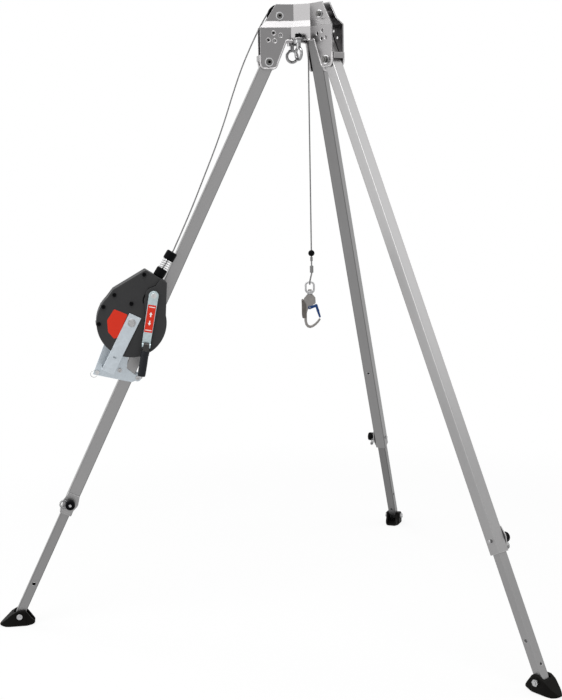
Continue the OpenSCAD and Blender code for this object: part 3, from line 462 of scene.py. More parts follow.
def linked(name, data):
    o = bpy.data.objects.new(name, data)
    bpy.context.scene.collection.objects.link(o)
    return o


def mesh_of(name, bm):
    mesh = bpy.data.meshes.new(name)
    bm.to_mesh(mesh)
    bm.free()
    return mesh


def baked(o):
    """The mesh that an object shows with its modifiers."""
    bpy.context.view_layer.update()
    return bpy.data.meshes.new_from_object(o.evaluated_get(bpy.context.evaluated_depsgraph_get()))


def settle(piece):
    """Applies a piece's modifiers to its mesh."""
    mesh = baked(piece)
    piece.modifiers.clear()
    old, piece.data = piece.data, mesh
    bpy.data.meshes.remove(old)


def grown(name, o, tree, values):
    """The mesh that a node group makes of an object, which goes."""
    modifier = o.modifiers.new("grown", "NODES")
    modifier.node_group = tree
    for key, value in values.items():
        modifier[key] = value
    mesh = baked(o)
    mesh.name = name
    bpy.data.objects.remove(o)
    return mesh


def smooth_faces(mesh):
    mesh.polygons.foreach_set("use_smooth", [True] * len(mesh.polygons))


def keep_flats(piece):
    """Lets the large faces of a piece shade flat beside its rounded edges."""
    piece.modifiers.new("flats", "WEIGHTED_NORMAL").keep_sharp = True


def smoothed(piece, passes):
    smooth = piece.modifiers.new("smooth", "SMOOTH")
    smooth.factor, smooth.iterations = 0.5, passes
    settle(piece)


def shown(name, mesh, finish, body, crease=35, flats=True):
    """A mesh as a piece in one finish, smooth up to the crease angle. It rides the body, if one is given."""
    mesh.materials.clear()
    mesh.materials.append(FINISH[finish])
    smooth_faces(mesh)
    mesh.set_sharp_from_angle(angle=math.radians(crease))
    piece = linked(name, mesh)
    if flats:
        keep_flats(piece)
    if body:
        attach(piece, body)
    return piece


def new_piece(name, bm, finish, body, crease=35):
    """A finished piece from a bmesh that is already in the row frame."""
    bm.normal_update()
    return shown(name, mesh_of(name, bm), finish, body, crease)


def body_of(node):
    return next(b for b, nodes in frame["record"]["behaviour"]["bodies"].items() if node in nodes)


def slot_of(node):
    return next(s["material_slot"] for s in frame["record"]["subparts"] if s["node"] == node)


def stand_in(node, bm, finish, crease=35, name=None):
    """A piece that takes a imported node's place."""
    piece = new_piece(name or node + "_piece", bm, finish, body_of(node), crease)
    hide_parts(node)
    return piece


def painted(node, finish):
    """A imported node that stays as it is, with a better finish."""
    o = frame["nodes"][node]
    o.data.materials.clear()
    o.data.materials.append(FINISH[finish])


def merged(node):
    """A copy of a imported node's mesh, joined up and without its flat triangles' inner edges."""
    bm = bmesh.new()
    bm.from_mesh(frame["nodes"][node].data)
    bmesh.ops.remove_doubles(bm, verts=bm.verts, dist=0.01 * MM)
    bmesh.ops.dissolve_limit(bm, angle_limit=math.radians(0.8), verts=bm.verts, edges=bm.edges)
    return bm


def rounded(bm, width, low=35, segments=2):
    """Rounds the edges whose faces turn by more than the low angle, and marks the new strips."""
    edge = bm.faces.layers.float.get("edge") or bm.faces.layers.float.new("edge")
    chosen = [e for e in bm.edges if e.is_manifold and math.degrees(e.calc_face_angle()) > low]
    if not chosen:
        return
    surface = BVHTree.FromBMesh(bm)
    made = bmesh.ops.bevel(
        bm, geom=chosen, offset=width, segments=segments, profile=0.5, affect="EDGES",
        clamp_overlap=False, loop_slide=False)
    for face in made["faces"]:
        face[edge] = 1.0
    for v in made["verts"]:
        near, _, _, away = surface.find_nearest(v.co)
        if away > width:
            v.co = near


def softened(node, finish, width, segments=2, low=35, crease=35):
    """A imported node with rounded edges."""
    bm = merged(node)
    rounded(bm, width, low, segments)
    return stand_in(node, bm, finish, crease)


def soften_all(*rows):
    """Softens nodes: each row has a node, its finish, the rounding in millimetres and what else it needs."""
    for node, finish, width, *more in rows:
        softened(node, finish, width * MM, *more)


def refinish(piece, finish, place, test):
    """Gives the faces whose middle passes a test in the place's frame another finish."""
    back = place.inverted()
    piece.data.materials.append(FINISH[finish])
    for face in piece.data.polygons:
        if test(back @ face.center / MM):
            face.material_index = 1


def cast(node, finish, voxel, passes):
    """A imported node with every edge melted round, as rubber comes out of a mould."""
    piece = new_piece(node + "_piece", merged(node), finish, body_of(node))
    remesh = piece.modifiers.new("remesh", "REMESH")
    remesh.mode, remesh.voxel_size = "VOXEL", voxel
    smoothed(piece, passes)
    smooth_faces(piece.data)
    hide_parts(node)
    return piece


def pierced(piece, cutter):
    """Cuts a through hole in a piece."""
    tool = linked("cutter", mesh_of("cutter", cutter))
    piece.modifiers.clear()
    cut = piece.modifiers.new("cut", "BOOLEAN")
    cut.operation, cut.object, cut.solver = "DIFFERENCE", tool, "EXACT"
    settle(piece)
    keep_flats(piece)
    bpy.data.objects.remove(tool)


def lathe(profile, steps, matrix=Matrix(), bm=None):
    """A turned form from (radius, height) points in millimetres about the frame's Z."""
    bm = bm or bmesh.new()

    def ring(r, h):
        if not r:
            return [bm.verts.new(matrix @ Vector((0, 0, h)))]
        turns = [FULL_TURN * i / steps for i in range(steps)]
        return [bm.verts.new(matrix @ Vector((r * math.cos(a), r * math.sin(a), h))) for a in turns]

    rings = [ring(r * MM, h * MM) for r, h in profile]
    for a, b in zip(rings, rings[1:]):
        for i in range(steps):
            j = (i + 1) % steps
            if len(a) == 1:
                bm.faces.new((a[0], b[j], b[i]))
            elif len(b) == 1:
                bm.faces.new((a[i], a[j], b[0]))
            else:
                bm.faces.new((a[i], a[j], b[j], b[i]))
    bmesh.ops.recalc_face_normals(bm, faces=bm.faces)
    return bm


def washer(inner, outer, height, ease):
    """A closed profile for a washer with eased rims."""
    return (
        (inner, 0), (outer, 0), (outer, height - ease), (outer - ease, height), (inner + ease, height),
        (inner, height - ease), (inner, 0))


def swept(points, radius, sides=12, bm=None, closed=False):
    """A round tube along points in the row frame."""
    bm = bm or bmesh.new()
    count = len(points)
    turns = [FULL_TURN * j / sides for j in range(sides)]
    side = None
    rings = []
    for i, p in enumerate(points):
        before = points[i - 1] if i or closed else p
        after = points[(i + 1) % count] if i < count - 1 or closed else p
        way = (after - before).normalized()
        if side is None:
            side = way.orthogonal().normalized()
        side = (side - way * side.dot(way)).normalized()
        other = way.cross(side)
        rings.append([
            bm.verts.new(p + side * (radius * math.cos(a)) + other * (radius * math.sin(a))) for a in turns])
    for a, b in list(zip(rings, rings[1:])) + ([(rings[-1], rings[0])] if closed else []):
        for j in range(sides):
            k = (j + 1) % sides
            bm.faces.new((a[j], a[k], b[k], b[j]))
    if not closed:
        bm.faces.new(list(reversed(rings[0])))
        bm.faces.new(rings[-1])
    return bm


def smooth_path(points, step):
    """Points close together on a smooth curve through a few."""
    ends = [points[0] * 2 - points[1]] + points + [points[-1] * 2 - points[-2]]
    out = []
    for a, b, c, d in zip(ends, ends[1:], ends[2:], ends[3:]):
        n = max(1, round((c - b).length / step))
        for t in (i / n for i in range(n)):
            bend = (2 * a - 5 * b + 4 * c - d) * t * t + (3 * b - a - 3 * c + d) * t ** 3
            out.append(0.5 * (2 * b + (c - a) * t + bend))
    return out + [points[-1]]


def rectangle(x0, z0, x1, z1):
    return (x0, z0), (x1, z0), (x1, z1), (x0, z1)


def fillet(points, radius, steps=4):
    """An outline with its corners rounded off."""
    out = []
    count = len(points)
    for i, p in enumerate(points):
        p, a, b = Vector(p), Vector(points[i - 1]), Vector(points[(i + 1) % count])
        reach = min(radius, (a - p).length / 2, (b - p).length / 2)
        start, end = p + (a - p).normalized() * reach, p + (b - p).normalized() * reach
        for t in (j / steps for j in range(steps + 1)):
            out.append((1 - t) ** 2 * start + 2 * t * (1 - t) * p + t * t * end)
    return out


def slab(outline, y0, y1, place, ease=0.0):
    """A flat plate on the place's X and Z, from one Y to another, with eased rims."""
    bm = bmesh.new()
    face = bm.faces.new([bm.verts.new(Vector((x, y0, z)) * MM) for x, z in outline])
    made = bmesh.ops.extrude_face_region(bm, geom=[face])["geom"]
    far = [g for g in made if isinstance(g, bmesh.types.BMVert)]
    bmesh.ops.translate(bm, verts=far, vec=Vector((0, y1 - y0, 0)) * MM)
    bmesh.ops.recalc_face_normals(bm, faces=bm.faces)
    if ease:
        rounded(bm, ease * MM, 60)
    bm.transform(place)
    return bm


def joined(forms):
    """Several bmeshes in one."""
    bm = bmesh.new()
    for form in forms:
        mesh = mesh_of("form", form)
        bm.from_mesh(mesh)
        bpy.data.meshes.remove(mesh)
    return bm


def foil(outline, corner, face, place):
    """A thin foil with rounded corners, let a little into the face at this Y."""
    return slab(fillet(outline, corner), face - 0.2, face + 0.5, place, 0.2)


def facing_y(place, x, y, z, turn=1):
    """A frame at a point of the place, whose Z looks along its Y, or against it for a turn of -1."""
    return shifted(place, x, y, z) @ rotated("X", -90 * turn)


def copies_tree():
    """Geometry nodes: a template on every point, its Z turned to the point's facing."""
    tree, source, keys = geometry_tree(
        "copies_on_points", Geometry="Geometry", Template="Object", Finish="Material")
    form = wire(tree, "GeometryNodeObjectInfo", {"Object": source["Template"]}).outputs["Geometry"]
    way = wire(tree, "GeometryNodeInputNamedAttribute", {"Name": "facing"}, data_type="FLOAT_VECTOR")
    turn = wire(tree, "FunctionNodeAlignRotationToVector", {"Vector": way.outputs["Attribute"]}, axis="Z")
    copies = wire(tree, "GeometryNodeInstanceOnPoints", {
        "Points": source["Geometry"], "Instance": form, "Rotation": turn.outputs["Rotation"]})
    give_out(tree, copies.outputs["Instances"], source["Finish"])
    return tree, keys


def repeated(name, template, places, finish, body):
    """Copies of a small form at places, each a frame whose origin and Z it takes."""
    tree, keys = copies_tree()
    bmesh.ops.remove_doubles(template, verts=template.verts, dist=0.0001 * MM)
    bmesh.ops.recalc_face_normals(template, faces=template.faces)
    form = linked(name + "_form", mesh_of(name + "_form", template))
    mesh = bpy.data.meshes.new(name + "_points")
    mesh.from_pydata([p.translation for p in places], [], [])
    facing = mesh.attributes.new("facing", "FLOAT_VECTOR", "POINT")
    facing.data.foreach_set("vector", [c for p in places for c in p.col[2].xyz.normalized()])
    points = linked(name + "_points", mesh)
    made = grown(name, points, tree, {keys["Template"]: form, keys["Finish"]: FINISH[finish]})
    bpy.data.objects.remove(form)
    return shown(name, made, finish, body)


# Stage

# Softboxes: name, place from the tripod's axis, width and height in metres, power in watts
LAMPS = (
    ("top", (0.3, -1.85, 5.5), 4.6, 2.0, 150),
    ("left", (-1.6, -3.9, 2.2), 2.0, 1.8, 24),
    ("side", (-4.2, -1.3, 1.8), 2.4, 3.2, 25),
    ("right", (3.3, 1.3, 3.5), 2.4, 2.4, 20),
    ("rear", (-3.4, 0.9, 4.9), 1.8, 1.8, 36),
)
# Height on the tripod's axis that the softboxes look at
LAMP_AIM = 1.2
# Strength of the world's light, which the camera and reflections see as plain white
SOFT_WORLD = 0.5
# Distances from the axis between which the floor fades to plain white
FLOOR_FADE = (1.3, 2.4)
FLOOR_HALF = 30


class TRIPOD_OT_stage(bpy.types.Operator):
    """Sets up the floor, the light and the camera"""

    bl_idname = "tripod.stage"
    bl_label = "Stage"

    def execute(self, context):
        scene, s = context.scene, context.scene.tripod_stage
        scene.view_settings.view_transform = "Standard"
        self.floor(s)
        self.world(scene)
        self.lamps()
        a, e, r = s.azimuth, s.tilt, s.roll
        back = Vector((math.sin(a) * math.cos(e), -math.cos(a) * math.cos(e), math.sin(e)))
        right = Vector((math.cos(a), math.sin(a), 0))
        top = back.cross(right)
        x = right * math.cos(r) + top * math.sin(r)
        y = top * math.cos(r) - right * math.sin(r)
        camera = linked("camera", bpy.data.cameras.new("camera"))
        camera.data.sensor_fit = "VERTICAL"
        camera.data.sensor_height = 36
        camera.data.lens = s.lens
        camera.data.clip_end = 100
        camera.matrix_world = placed(x, y, back, Vector(s.camera_at) + AXIS_FOOT)
        scene.camera = camera
        return {"FINISHED"}

    def floor(self, s):
        bm = bmesh.new()
        bmesh.ops.create_grid(bm, x_segments=2, y_segments=2, size=FLOOR_HALF)
        floor = linked("floor", mesh_of("floor", bm))
        material = bpy.data.materials.new("pale_floor")
        material.use_nodes = True
        tree = material.node_tree
        shader = tree.nodes["Principled BSDF"]
        for key, value in {"Base Color": (*s.floor, 1), "Roughness": 0.9, "Specular IOR Level": 0.1}.items():
            shader.inputs[key].default_value = value
        spot = wire(tree, "ShaderNodeTexCoord").outputs["Object"]
        away = wire(tree, "ShaderNodeVectorMath", {0: spot}, operation="LENGTH").outputs["Value"]
        start, end = FLOOR_FADE
        fade = wire(tree, "ShaderNodeMapRange", {
            "Value": away, "From Min": start, "From Max": end, "To Min": s.glow, "To Max": 1.0,
        }, interpolation_type="SMOOTHSTEP")
        path = wire(tree, "ShaderNodeLightPath").outputs
        seen = maths(tree, "MAXIMUM", path["Is Camera Ray"], path["Is Glossy Ray"])
        share = maths(tree, "MULTIPLY", seen, fade.outputs["Result"])
        glow = wire(tree, "ShaderNodeEmission").outputs[0]
        mix = wire(tree, "ShaderNodeMixShader", {0: share, 1: shader.outputs[0], 2: glow})
        tree.links.new(mix.outputs[0], tree.nodes["Material Output"].inputs["Surface"])
        floor.data.materials.append(material)

    def world(self, scene):
        scene.world = scene.world or bpy.data.worlds.new("studio")
        scene.world.use_nodes = True
        tree = scene.world.node_tree
        tree.nodes.clear()
        path = wire(tree, "ShaderNodeLightPath").outputs
        direct = maths(tree, "MAXIMUM", path["Is Camera Ray"], path["Is Transmission Ray"])
        seen = maths(tree, "MAXIMUM", direct, path["Is Glossy Ray"])
        soft, plain = (
            wire(tree, "ShaderNodeBackground", {"Color": (1, 1, 1, 1), "Strength": strength}).outputs[0]
            for strength in (SOFT_WORLD, 1.0))
        mix = wire(tree, "ShaderNodeMixShader", {0: seen, 1: soft, 2: plain})
        wire(tree, "ShaderNodeOutputWorld", {"Surface": mix.outputs[0]})

    def lamps(self):
        for name, at, wide, high, power in LAMPS:
            lamp = bpy.data.lights.new(name, "AREA")
            lamp.shape, lamp.size, lamp.size_y = "RECTANGLE", wide, high
            lamp.energy = power
            at = Vector(at) + AXIS_FOOT
            way = Vector((CENTRE.x, CENTRE.y, LAMP_AIM)) - at
            axes = way.to_track_quat("-Z", "Y").to_matrix().transposed()
            linked(name, lamp).matrix_world = placed(*axes, at)


# Rope

# Foot of the rope's outlet in leg a's frame, its lean to the leg in degrees, and its length
OUTLET_FOOT = (47, 60, -774)
OUTLET_LEAN = 6.5
OUTLET_LENGTH = 92
# Distance of a pulley from the tripod's axis, height above the pivots, radius of the rope on it
LEG_PULLEY = (88, 145, 35)
CENTRE_PULLEY = (13, 150, 20)
# Angle at which the riser meets the leg pulley
LEAD_ANGLE = 38
# The slack riser: distance outwards from the leg's line, share of the outlet's offset, share of the way up
RISER = (
    (36, 0.98, 0.03), (36, 0.94, 0.1), (37, 0.84, 0.22), (41, 0.69, 0.37), (46, 0.52, 0.53), (53, 0.37, 0.66),
    (62, 0.22, 0.78), (68, 0.12, 0.87), (71, 0.05, 0.94), (72, 0.01, 1), (72, 0, 1.07), (71, 0, 1.12),
    (69, 0, 1.165), (66.5, 0, 1.2),
)
# The rope's section: points around it, and how deep the grooves are as a share of its radius
ROPE_SIDES = 36
GROOVE = 0.2
PULLEY_STEPS = 24
HANG_STEPS = 240


def outlet_point(h):
    """A point on the outlet's axis in leg a's frame, at a height above its foot."""
    x, y, z = OUTLET_FOOT
    lean = math.radians(OUTLET_LEAN)
    return Vector((x - h * math.sin(lean), y, z + h * math.cos(lean)))


def on_pulley(pulley, degrees):
    out, height, radius = pulley
    a = math.radians(degrees)
    return point(HEAD["a"], out + radius * math.cos(a), 0, height + radius * math.sin(a))


def riser_path():
    """From inside the casing, up through the outlet and slack to the leg pulley."""
    inside = [outlet_point(h) for h in (-8, 0, OUTLET_LENGTH / 2, OUTLET_LENGTH + 2)]
    top = inside[-1].z
    free = [Vector((out, OUTLET_FOOT[1] * across, top * (1 - share))) for out, across, share in RISER]
    return [LEG["a"] @ (p * MM) for p in inside + free] + [on_pulley(LEG_PULLEY, LEAD_ANGLE)]


def over_path():
    """Over the leg pulley, across, and over the centre pulley to where the rope hangs."""
    (ax, az, near), (bx, bz, far) = LEG_PULLEY, CENTRE_PULLEY
    apart = math.hypot(bx - ax, bz - az)
    crossing = math.degrees(math.atan2(bz - az, bx - ax) - math.acos((near - far) / apart))
    start = LEAD_ANGLE + 0.5
    return [
        on_pulley(pulley, first + (last - first) * i / PULLEY_STEPS)
        for pulley, first, last in ((LEG_PULLEY, start, crossing), (CENTRE_PULLEY, crossing, 180))
        for i in range(PULLEY_STEPS + 1)]


def rope_tree(rope):
    """Geometry nodes: a lobed section turned along a curve, as strands lie in a rope."""
    tree, source, keys = geometry_tree(
        "rope_strands", Geometry="Geometry", Radius="Float", Lay="Float", Strands="Int")
    circle = wire(tree, "GeometryNodeCurvePrimitiveCircle", {
        "Resolution": ROPE_SIDES, "Radius": source["Radius"]})
    index = wire(tree, "GeometryNodeInputIndex").outputs[0]
    angle = maths(tree, "MULTIPLY", index, FULL_TURN / ROPE_SIDES)
    half = maths(tree, "MULTIPLY", source["Strands"], 0.5)
    lobe = maths(tree, "ABSOLUTE", maths(tree, "COSINE", maths(tree, "MULTIPLY", angle, half)))
    depth = maths(tree, "MULTIPLY", maths(tree, "SUBTRACT", lobe, 1.0), GROOVE)
    spot = wire(tree, "GeometryNodeInputPosition").outputs[0]
    inwards = wire(tree, "ShaderNodeVectorMath", {0: spot, "Scale": depth}, operation="SCALE")
    section = wire(tree, "GeometryNodeSetPosition", {
        "Geometry": circle.outputs["Curve"], "Offset": inwards.outputs[0]})
    # Stores how deep each point lies in a groove between strands, for the painted shade there
    marked = wire(tree, "GeometryNodeStoreNamedAttribute", {
        "Geometry": section.outputs["Geometry"], "Name": "groove",
        "Value": maths(tree, "SUBTRACT", 1.0, lobe),
    }, data_type="FLOAT", domain="POINT")
    run = wire(tree, "GeometryNodeSplineParameter").outputs["Length"]
    turns = maths(tree, "DIVIDE", run, source["Lay"])
    line = wire(tree, "GeometryNodeSetCurveTilt", {
        "Curve": source["Geometry"], "Tilt": maths(tree, "MULTIPLY", turns, FULL_TURN)})
    mesh = wire(tree, "GeometryNodeCurveToMesh", {
        "Curve": line.outputs["Curve"], "Profile Curve": marked.outputs["Geometry"], "Fill Caps": True})
    give_out(tree, mesh.outputs["Mesh"], FINISH["rope"])
    return tree, {keys["Radius"]: rope.diameter / 2, keys["Lay"]: rope.lay, keys["Strands"]: rope.strands}


def rope_piece(name, node, points, strands, body=None):
    """One stretch of rope as a plain mesh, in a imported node's place."""
    curve = bpy.data.curves.new(name + "_line", "CURVE")
    curve.dimensions = "3D"
    spline = curve.splines.new("POLY")
    spline.points.add(len(points) - 1)
    for p, q in zip(spline.points, points):
        p.co = (*q, 1)
    mesh = grown(name, linked(name + "_line", curve), *strands)
    piece = shown(name, mesh, "rope", body, 60, False)
    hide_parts(node)
    return piece


class TRIPOD_OT_rope(bpy.types.Operator):
    """Lays the wire rope from the winch over the head to the hook"""

    bl_idname = "tripod.rope"
    bl_label = "Wire rope"

    def execute(self, context):
        rope = context.scene.tripod_rope
        strands = rope_tree(rope)
        path = smooth_path(riser_path(), 4 * MM)
        riser = rope_piece("rope_riser_strands", "rope_riser", path, strands)
        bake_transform(riser)
        rope_piece("rope_over_strands", "rope_over", smooth_path(over_path(), 2 * MM), strands, "head")
        low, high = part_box("rope_hang")
        x, y = (low[0] + high[0]) / 2, (low[1] + high[1]) / 2
        drop = low[2] - high[2]
        down = [Vector((x, y, high[2] + drop * i / HANG_STEPS)) for i in range(HANG_STEPS + 1)]
        hang = rope_piece("rope_hang_strands", "rope_hang", down, strands, "head")
        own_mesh(hang)
        return {"FINISHED"}


# Head

# Lower edge of a wing from its facet outwards: distance from the tripod's axis, height above the pivots
WING_EDGE = (
    (60, 67.5), (66, 67.5), (70.5, 63), (80, 40), (90, 16.5), (98.5, -4), (101.5, -12.5), (106, -18.5),
    (113, -20), (126, -20), (139, -20), (146, -18.5), (150.5, -13.5), (153, -7), (154, 0), (154, 12), (154, 22),
)
# A plate's faces from the tripod's axis, the turn of a wing from its facet, and where the facet ends below
WING_FACE = 24
FACET_FACE = 47
WING_TURN = 60
FACET_LOW = 67.5
# Where the bead's ends lie on the facet, beside the eye bolt's lug
BEAD_ENDS = (21, 27)
# Bolts: distance from the tripod's axis, face they lie on, height, depth of the head, width of the head
BOLTS = {"pivot": (126, 26, 0, 8, 20), "axle": (88, 18, 145, 7, 17)}
SOCKET_SHARE = 0.256
# Holes around the pivot: distance, and angle from the vertical
ANGLE_HOLES = ((92, 10), (92, 25), (69, -1), (69, 16))
EYELET = ((4.6, -2), (6.2, 0.6), (7, 1), (7.8, 0.7), (8, 0), (8, -2), (4.6, -2))


def edge_path(facet, side):
    """The rolled bead's line on one half of a head plate."""
    wing = facet @ rotated("Z", WING_TURN * side)
    turn = math.radians(WING_TURN)
    fold = (FACET_FACE - WING_FACE * math.sin(turn)) / math.cos(turn)
    flat = [point(facet, FACET_FACE, y * side, FACET_LOW) for y in BEAD_ENDS]
    return flat + [point(wing, u, -side * WING_FACE, z) for u, z in ((fold, FACET_LOW), *WING_EDGE)]


class TRIPOD_OT_head(bpy.types.Operator):
    """Rounds the head plates, rolls their lower edges and finishes what they carry"""

    bl_idname = "tripod.head"
    bl_label = "Head"

    def execute(self, context):
        metal = context.scene.tripod_metal
        for side, facet in FACET.items():
            softened("head_plate_" + side, "plate", metal.edge, low=70, crease=12)
            bm = bmesh.new()
            for half in (-1, 1):
                swept(smooth_path(edge_path(facet, half), 3 * MM), metal.bead, 12, bm)
            new_piece("head_bead_" + side, bm, "bead", "head", 60)
        soften_all(
            ("stop_bars", "plate", 1.2), ("head_spacers", "plate", 0.8), ("pulley_cheeks", "plate", 0.6),
            ("pivot_bolts", "bolt", 0.7), ("axle_bolts", "bolt", 0.6), ("anchor_eyes", "chrome", 0.4, 2, 50),
            ("anchor_nuts", "black", 0.7), ("leg_pulley", "black", 0.8), ("centre_pulley", "black", 0.8))
        self.washers()
        return {"FINISHED"}

    def washers(self):
        for name, (u, face, z, depth, across) in BOLTS.items():
            both = [facing_y(HEAD[k], u, face * turn, z, turn) for k in "abc" for turn in (-1, 1)]
            ring = lathe(washer(across / 2, across / 2 + 4.2, 2, 0.6), 40)
            repeated(name + "_washers", ring, both, "bright", "head")
            # Painted shade: a black disc in each bolt head's socket stands for the shade in the recess
            heads = [facing_y(HEAD[k], u, face + depth * 0.5 - 0.2, z) for k in "abc"]
            wide = across * SOCKET_SHARE
            shade_plug = lathe(((0, 0), (wide, 0), (wide, 0.9), (0, 0.9)), 6)
            repeated(name + "_sockets", shade_plug, heads, "black", "head")
        u, face = BOLTS["pivot"][:2]
        turns = [(reach, math.radians(lean)) for reach, lean in ANGLE_HOLES]
        holes = [
            facing_y(HEAD[k], u - reach * math.sin(lean), face * turn, reach * math.cos(lean), turn)
            for k in "abc" for turn in (-1, 1) for reach, lean in turns]
        # The eyelets take the bead's painted highlight
        repeated("angle_eyelets", lathe(EYELET, 32), holes, "bead", "head")


# Legs

# A lock pin in its leg's frame: height along the leg, where its knob starts and ends, radius of its tip
PIN_Z = -1580
PIN_SEAT = 28.5
KNOB_TOP = 50.3
PIN_TIP = 4.7
# Middle of each lanyard loop, from its lock pin
LANYARD = {"a": (19, -7), "b": (-13, -14), "c": (3, -20)}
# A lanyard: radius of its loop and of its coils, number of coils, points on each; radius of the wire
LANYARD_LOOP = (12.5, 2.8, 20, 12)
LANYARD_RADIUS = 0.95
FOOT_VOXEL = 1.3
HEEL_ROUND = 22
HEEL_LENGTH = 30
# The corner of a tube that catches the light and gets a painted highlight, as signs along its leg's X and Y
GLINT = {"c": (1, -1)}
# Screw that stops the lower tube: how far inwards from the leg's line, and along it
STOP_SCREW = (-20, -1253)
# Black disc painted into the screw's socket as its shade: radius and height in the screw's frame
STOP_SOCKET_SHADE = ((0, -0.4), (4.9, -0.4), (4.9, 0.5), (0, 0.5))


def is_knob(p):
    """Whether a point on a lock pin, in its leg's frame, lies on the moulded knob."""
    return p.y > PIN_SEAT + 0.2 and not (p.y > KNOB_TOP and math.hypot(p.x, p.z - PIN_Z) < PIN_TIP)


def lanyard_path(k):
    """A loop of coiled wire that hangs in the lock pin's neck."""
    loop, coil, turns, around = LANYARD_LOOP
    x, z = LANYARD[k]
    place = shifted(LEG[k], x, PIN_SEAT + 4, PIN_Z + z) @ rotated("X", 14) @ rotated("Z", -12)
    out = []
    for i in range(turns * around):
        a, b = FULL_TURN * i / (turns * around), FULL_TURN * i / around
        r = loop + coil * math.cos(b)
        out.append(point(place, r * math.cos(a), coil * math.sin(b), r * math.sin(a)))
    return out


class TRIPOD_OT_legs(bpy.types.Operator):
    """Finishes the tubes, guide plates, lock pins and feet"""

    bl_idname = "tripod.legs"
    bl_label = "Legs"

    def execute(self, context):
        for k in "abc":
            for part, width in (("upper_", 1.1), ("lower_", 0.8)):
                self.corners(softened(part + "tube_" + k, part + k, width * MM, low=60), k)
            soften_all(("pin_guide_" + k, "upper_" + k, 0.8), ("foot_bolt_" + k, "steel", 0.7))
            pin, slot = "lock_pin_" + k, slot_of("foot_bolt_" + k)
            refinish(softened(pin, "steel", 0.7 * MM), "black", LEG[k], is_knob)
            loop = swept(lanyard_path(k), LANYARD_RADIUS * MM, 7, closed=True)
            new_piece("lanyard_" + k, loop, "chrome", body_of(pin), 70)
            self.heel(cast("foot_" + k, "rubber", FOOT_VOXEL * MM, 6), k)
            self.stop_screw(k, slot)
        return {"FINISHED"}

    def corners(self, tube, k):
        """Marks a tube's long corners for painted shade, or for a painted highlight on the one that catches the
        light.
        """
        back = LEG[k].inverted().to_3x3()
        shaded_corner = tube.data.attributes.new("corner", "FLOAT", "FACE")
        # Faces for the painted highlight on the corner that catches the light
        bright = tube.data.attributes.new("glint", "FLOAT", "FACE")
        x, y = GLINT.get(k, (0, 0))
        for face in tube.data.polygons:
            n = back @ face.normal
            turn = min(abs(n.x), abs(n.y))
            if n.x * x > 0 and n.y * y > 0:
                bright.data[face.index].value = float(turn > 0.5)
            elif turn > 0.2:
                shaded_corner.data[face.index].value = 1.0

    def stop_screw(self, k, slot):
        """A small screw on the tube's inner face, with a black disc in its socket as painted shade."""
        x, z = STOP_SCREW
        place = shifted(LEG[k], x, 0, z) @ rotated("Y", -90)
        ring = lathe(washer(4.8, 6.6, 1.4, 0.5), 32)
        repeated("stop_screw_" + k, ring, [place], "steel", "upper_leg_" + k)
        repeated("stop_socket_" + k, lathe(STOP_SOCKET_SHADE, 24), [place], "black", "upper_leg_" + k)

    def heel(self, foot, k):
        """Rounds a foot's heel, whose lower corners run into each other."""
        place = HEAD[k].copy()
        place.translation.z = 0
        back = place.inverted()
        points = [back @ v.co / MM for v in foot.data.vertices]
        heel = min(q.x for q in points)
        half = max(abs(q.y) for q in points if q.x < heel + HEEL_LENGTH / 3)
        for v, q in zip(foot.data.vertices, points):
            r = HEEL_ROUND * max(0.0, 1 - (q.x - heel) / HEEL_LENGTH)
            dy, dz = max(0.0, abs(q.y) - half + r), max(0.0, r - q.z)
            away = math.hypot(dy, dz)
            if away > r > 0:
                t = r / away
                y = math.copysign(half - r + dy * t, q.y) if dy else q.y
                v.co = point(place, q.x, y, r - dz * t if dz else q.z)
        smoothed(foot, 4)
        keep_flats(foot)


# Winch

# The casing's front face from the leg's middle, and forms on it along the leg's X and Z from the drum's axis
CASE_FACE = 96
CASE_SCREWS = ((27, 158), (87, 60), (103, 11), (94, -45))
CASE_BOSS = ((0, -66), (8.2, -66), (9.6, -64.5), (9.6, 0.2), (8.6, 1.4), (0, 1.4))
FIELD = ((69, 18), (23, 19), (21, -61), (32, -69), (57, -57), (75, -24))
# Painted shadow: a black line along the cover's raised edge, from the drum's axis, and its radius below
COVER_SHADOW_LINE = (
    (-26.5, 166), (-24, 152), (-20.5, 140), (-12, 131), (-4.5, 122), (-3.5, 112), (-3, 104), (-1.5, 96),
    (-1.5, 88), (-4, 80), (-8, 73),
)
SHADOW_LINE_RADIUS = 1.6
ARM_SLOT = rectangle(-1.5, -125.5, 9.5, -120.5)
# The rope's outlet, and its spring: height it starts at, room for it, radius, wire and turns
OUTLET = shifted(WINCH, -19, 60, 168) @ rotated("Y", -OUTLET_LEAN)
COIL = (30, 32, 15, 2.4, 4)
# The crank's front face, its coloured band and the print on that, from the crank's axis down the arm
CRANK_FACE = 112
HUB = 9
BAND = rectangle(-13, -119, 13, -30)
ARROW = ((-2, -7), (2, -7), (2, 1), (5.2, 1), (0, 8.5), (-5.2, 1), (-2, 1))
ARROWS_AT = ((-62, 1), (-88, -1))
BARS_AT = (-37, -112)
PRINT = (CRANK_FACE + 0.4, CRANK_FACE + 0.75, CRANK)
# The folding grip: how far its axis stands out, where its sleeve starts, and the turned forms on it
GRIP_AXIS = 120.8
GRIP_START = -178
GRIP_SLEEVE = (
    (0, -261), (10.5, -261), (12, -260), (12.6, -257.5), (12.8, -250), (13.1, -225), (12.7, -200), (12.5, -193.5),
    (13.3, -192.5), (13.6, -191), (13.6, -178.5), (13.0, -177), (0, -177),
)
GRIP_STUD = ((0, -268.5), (3, -268.5), (4, -267.5), (4, -260), (0, -260))


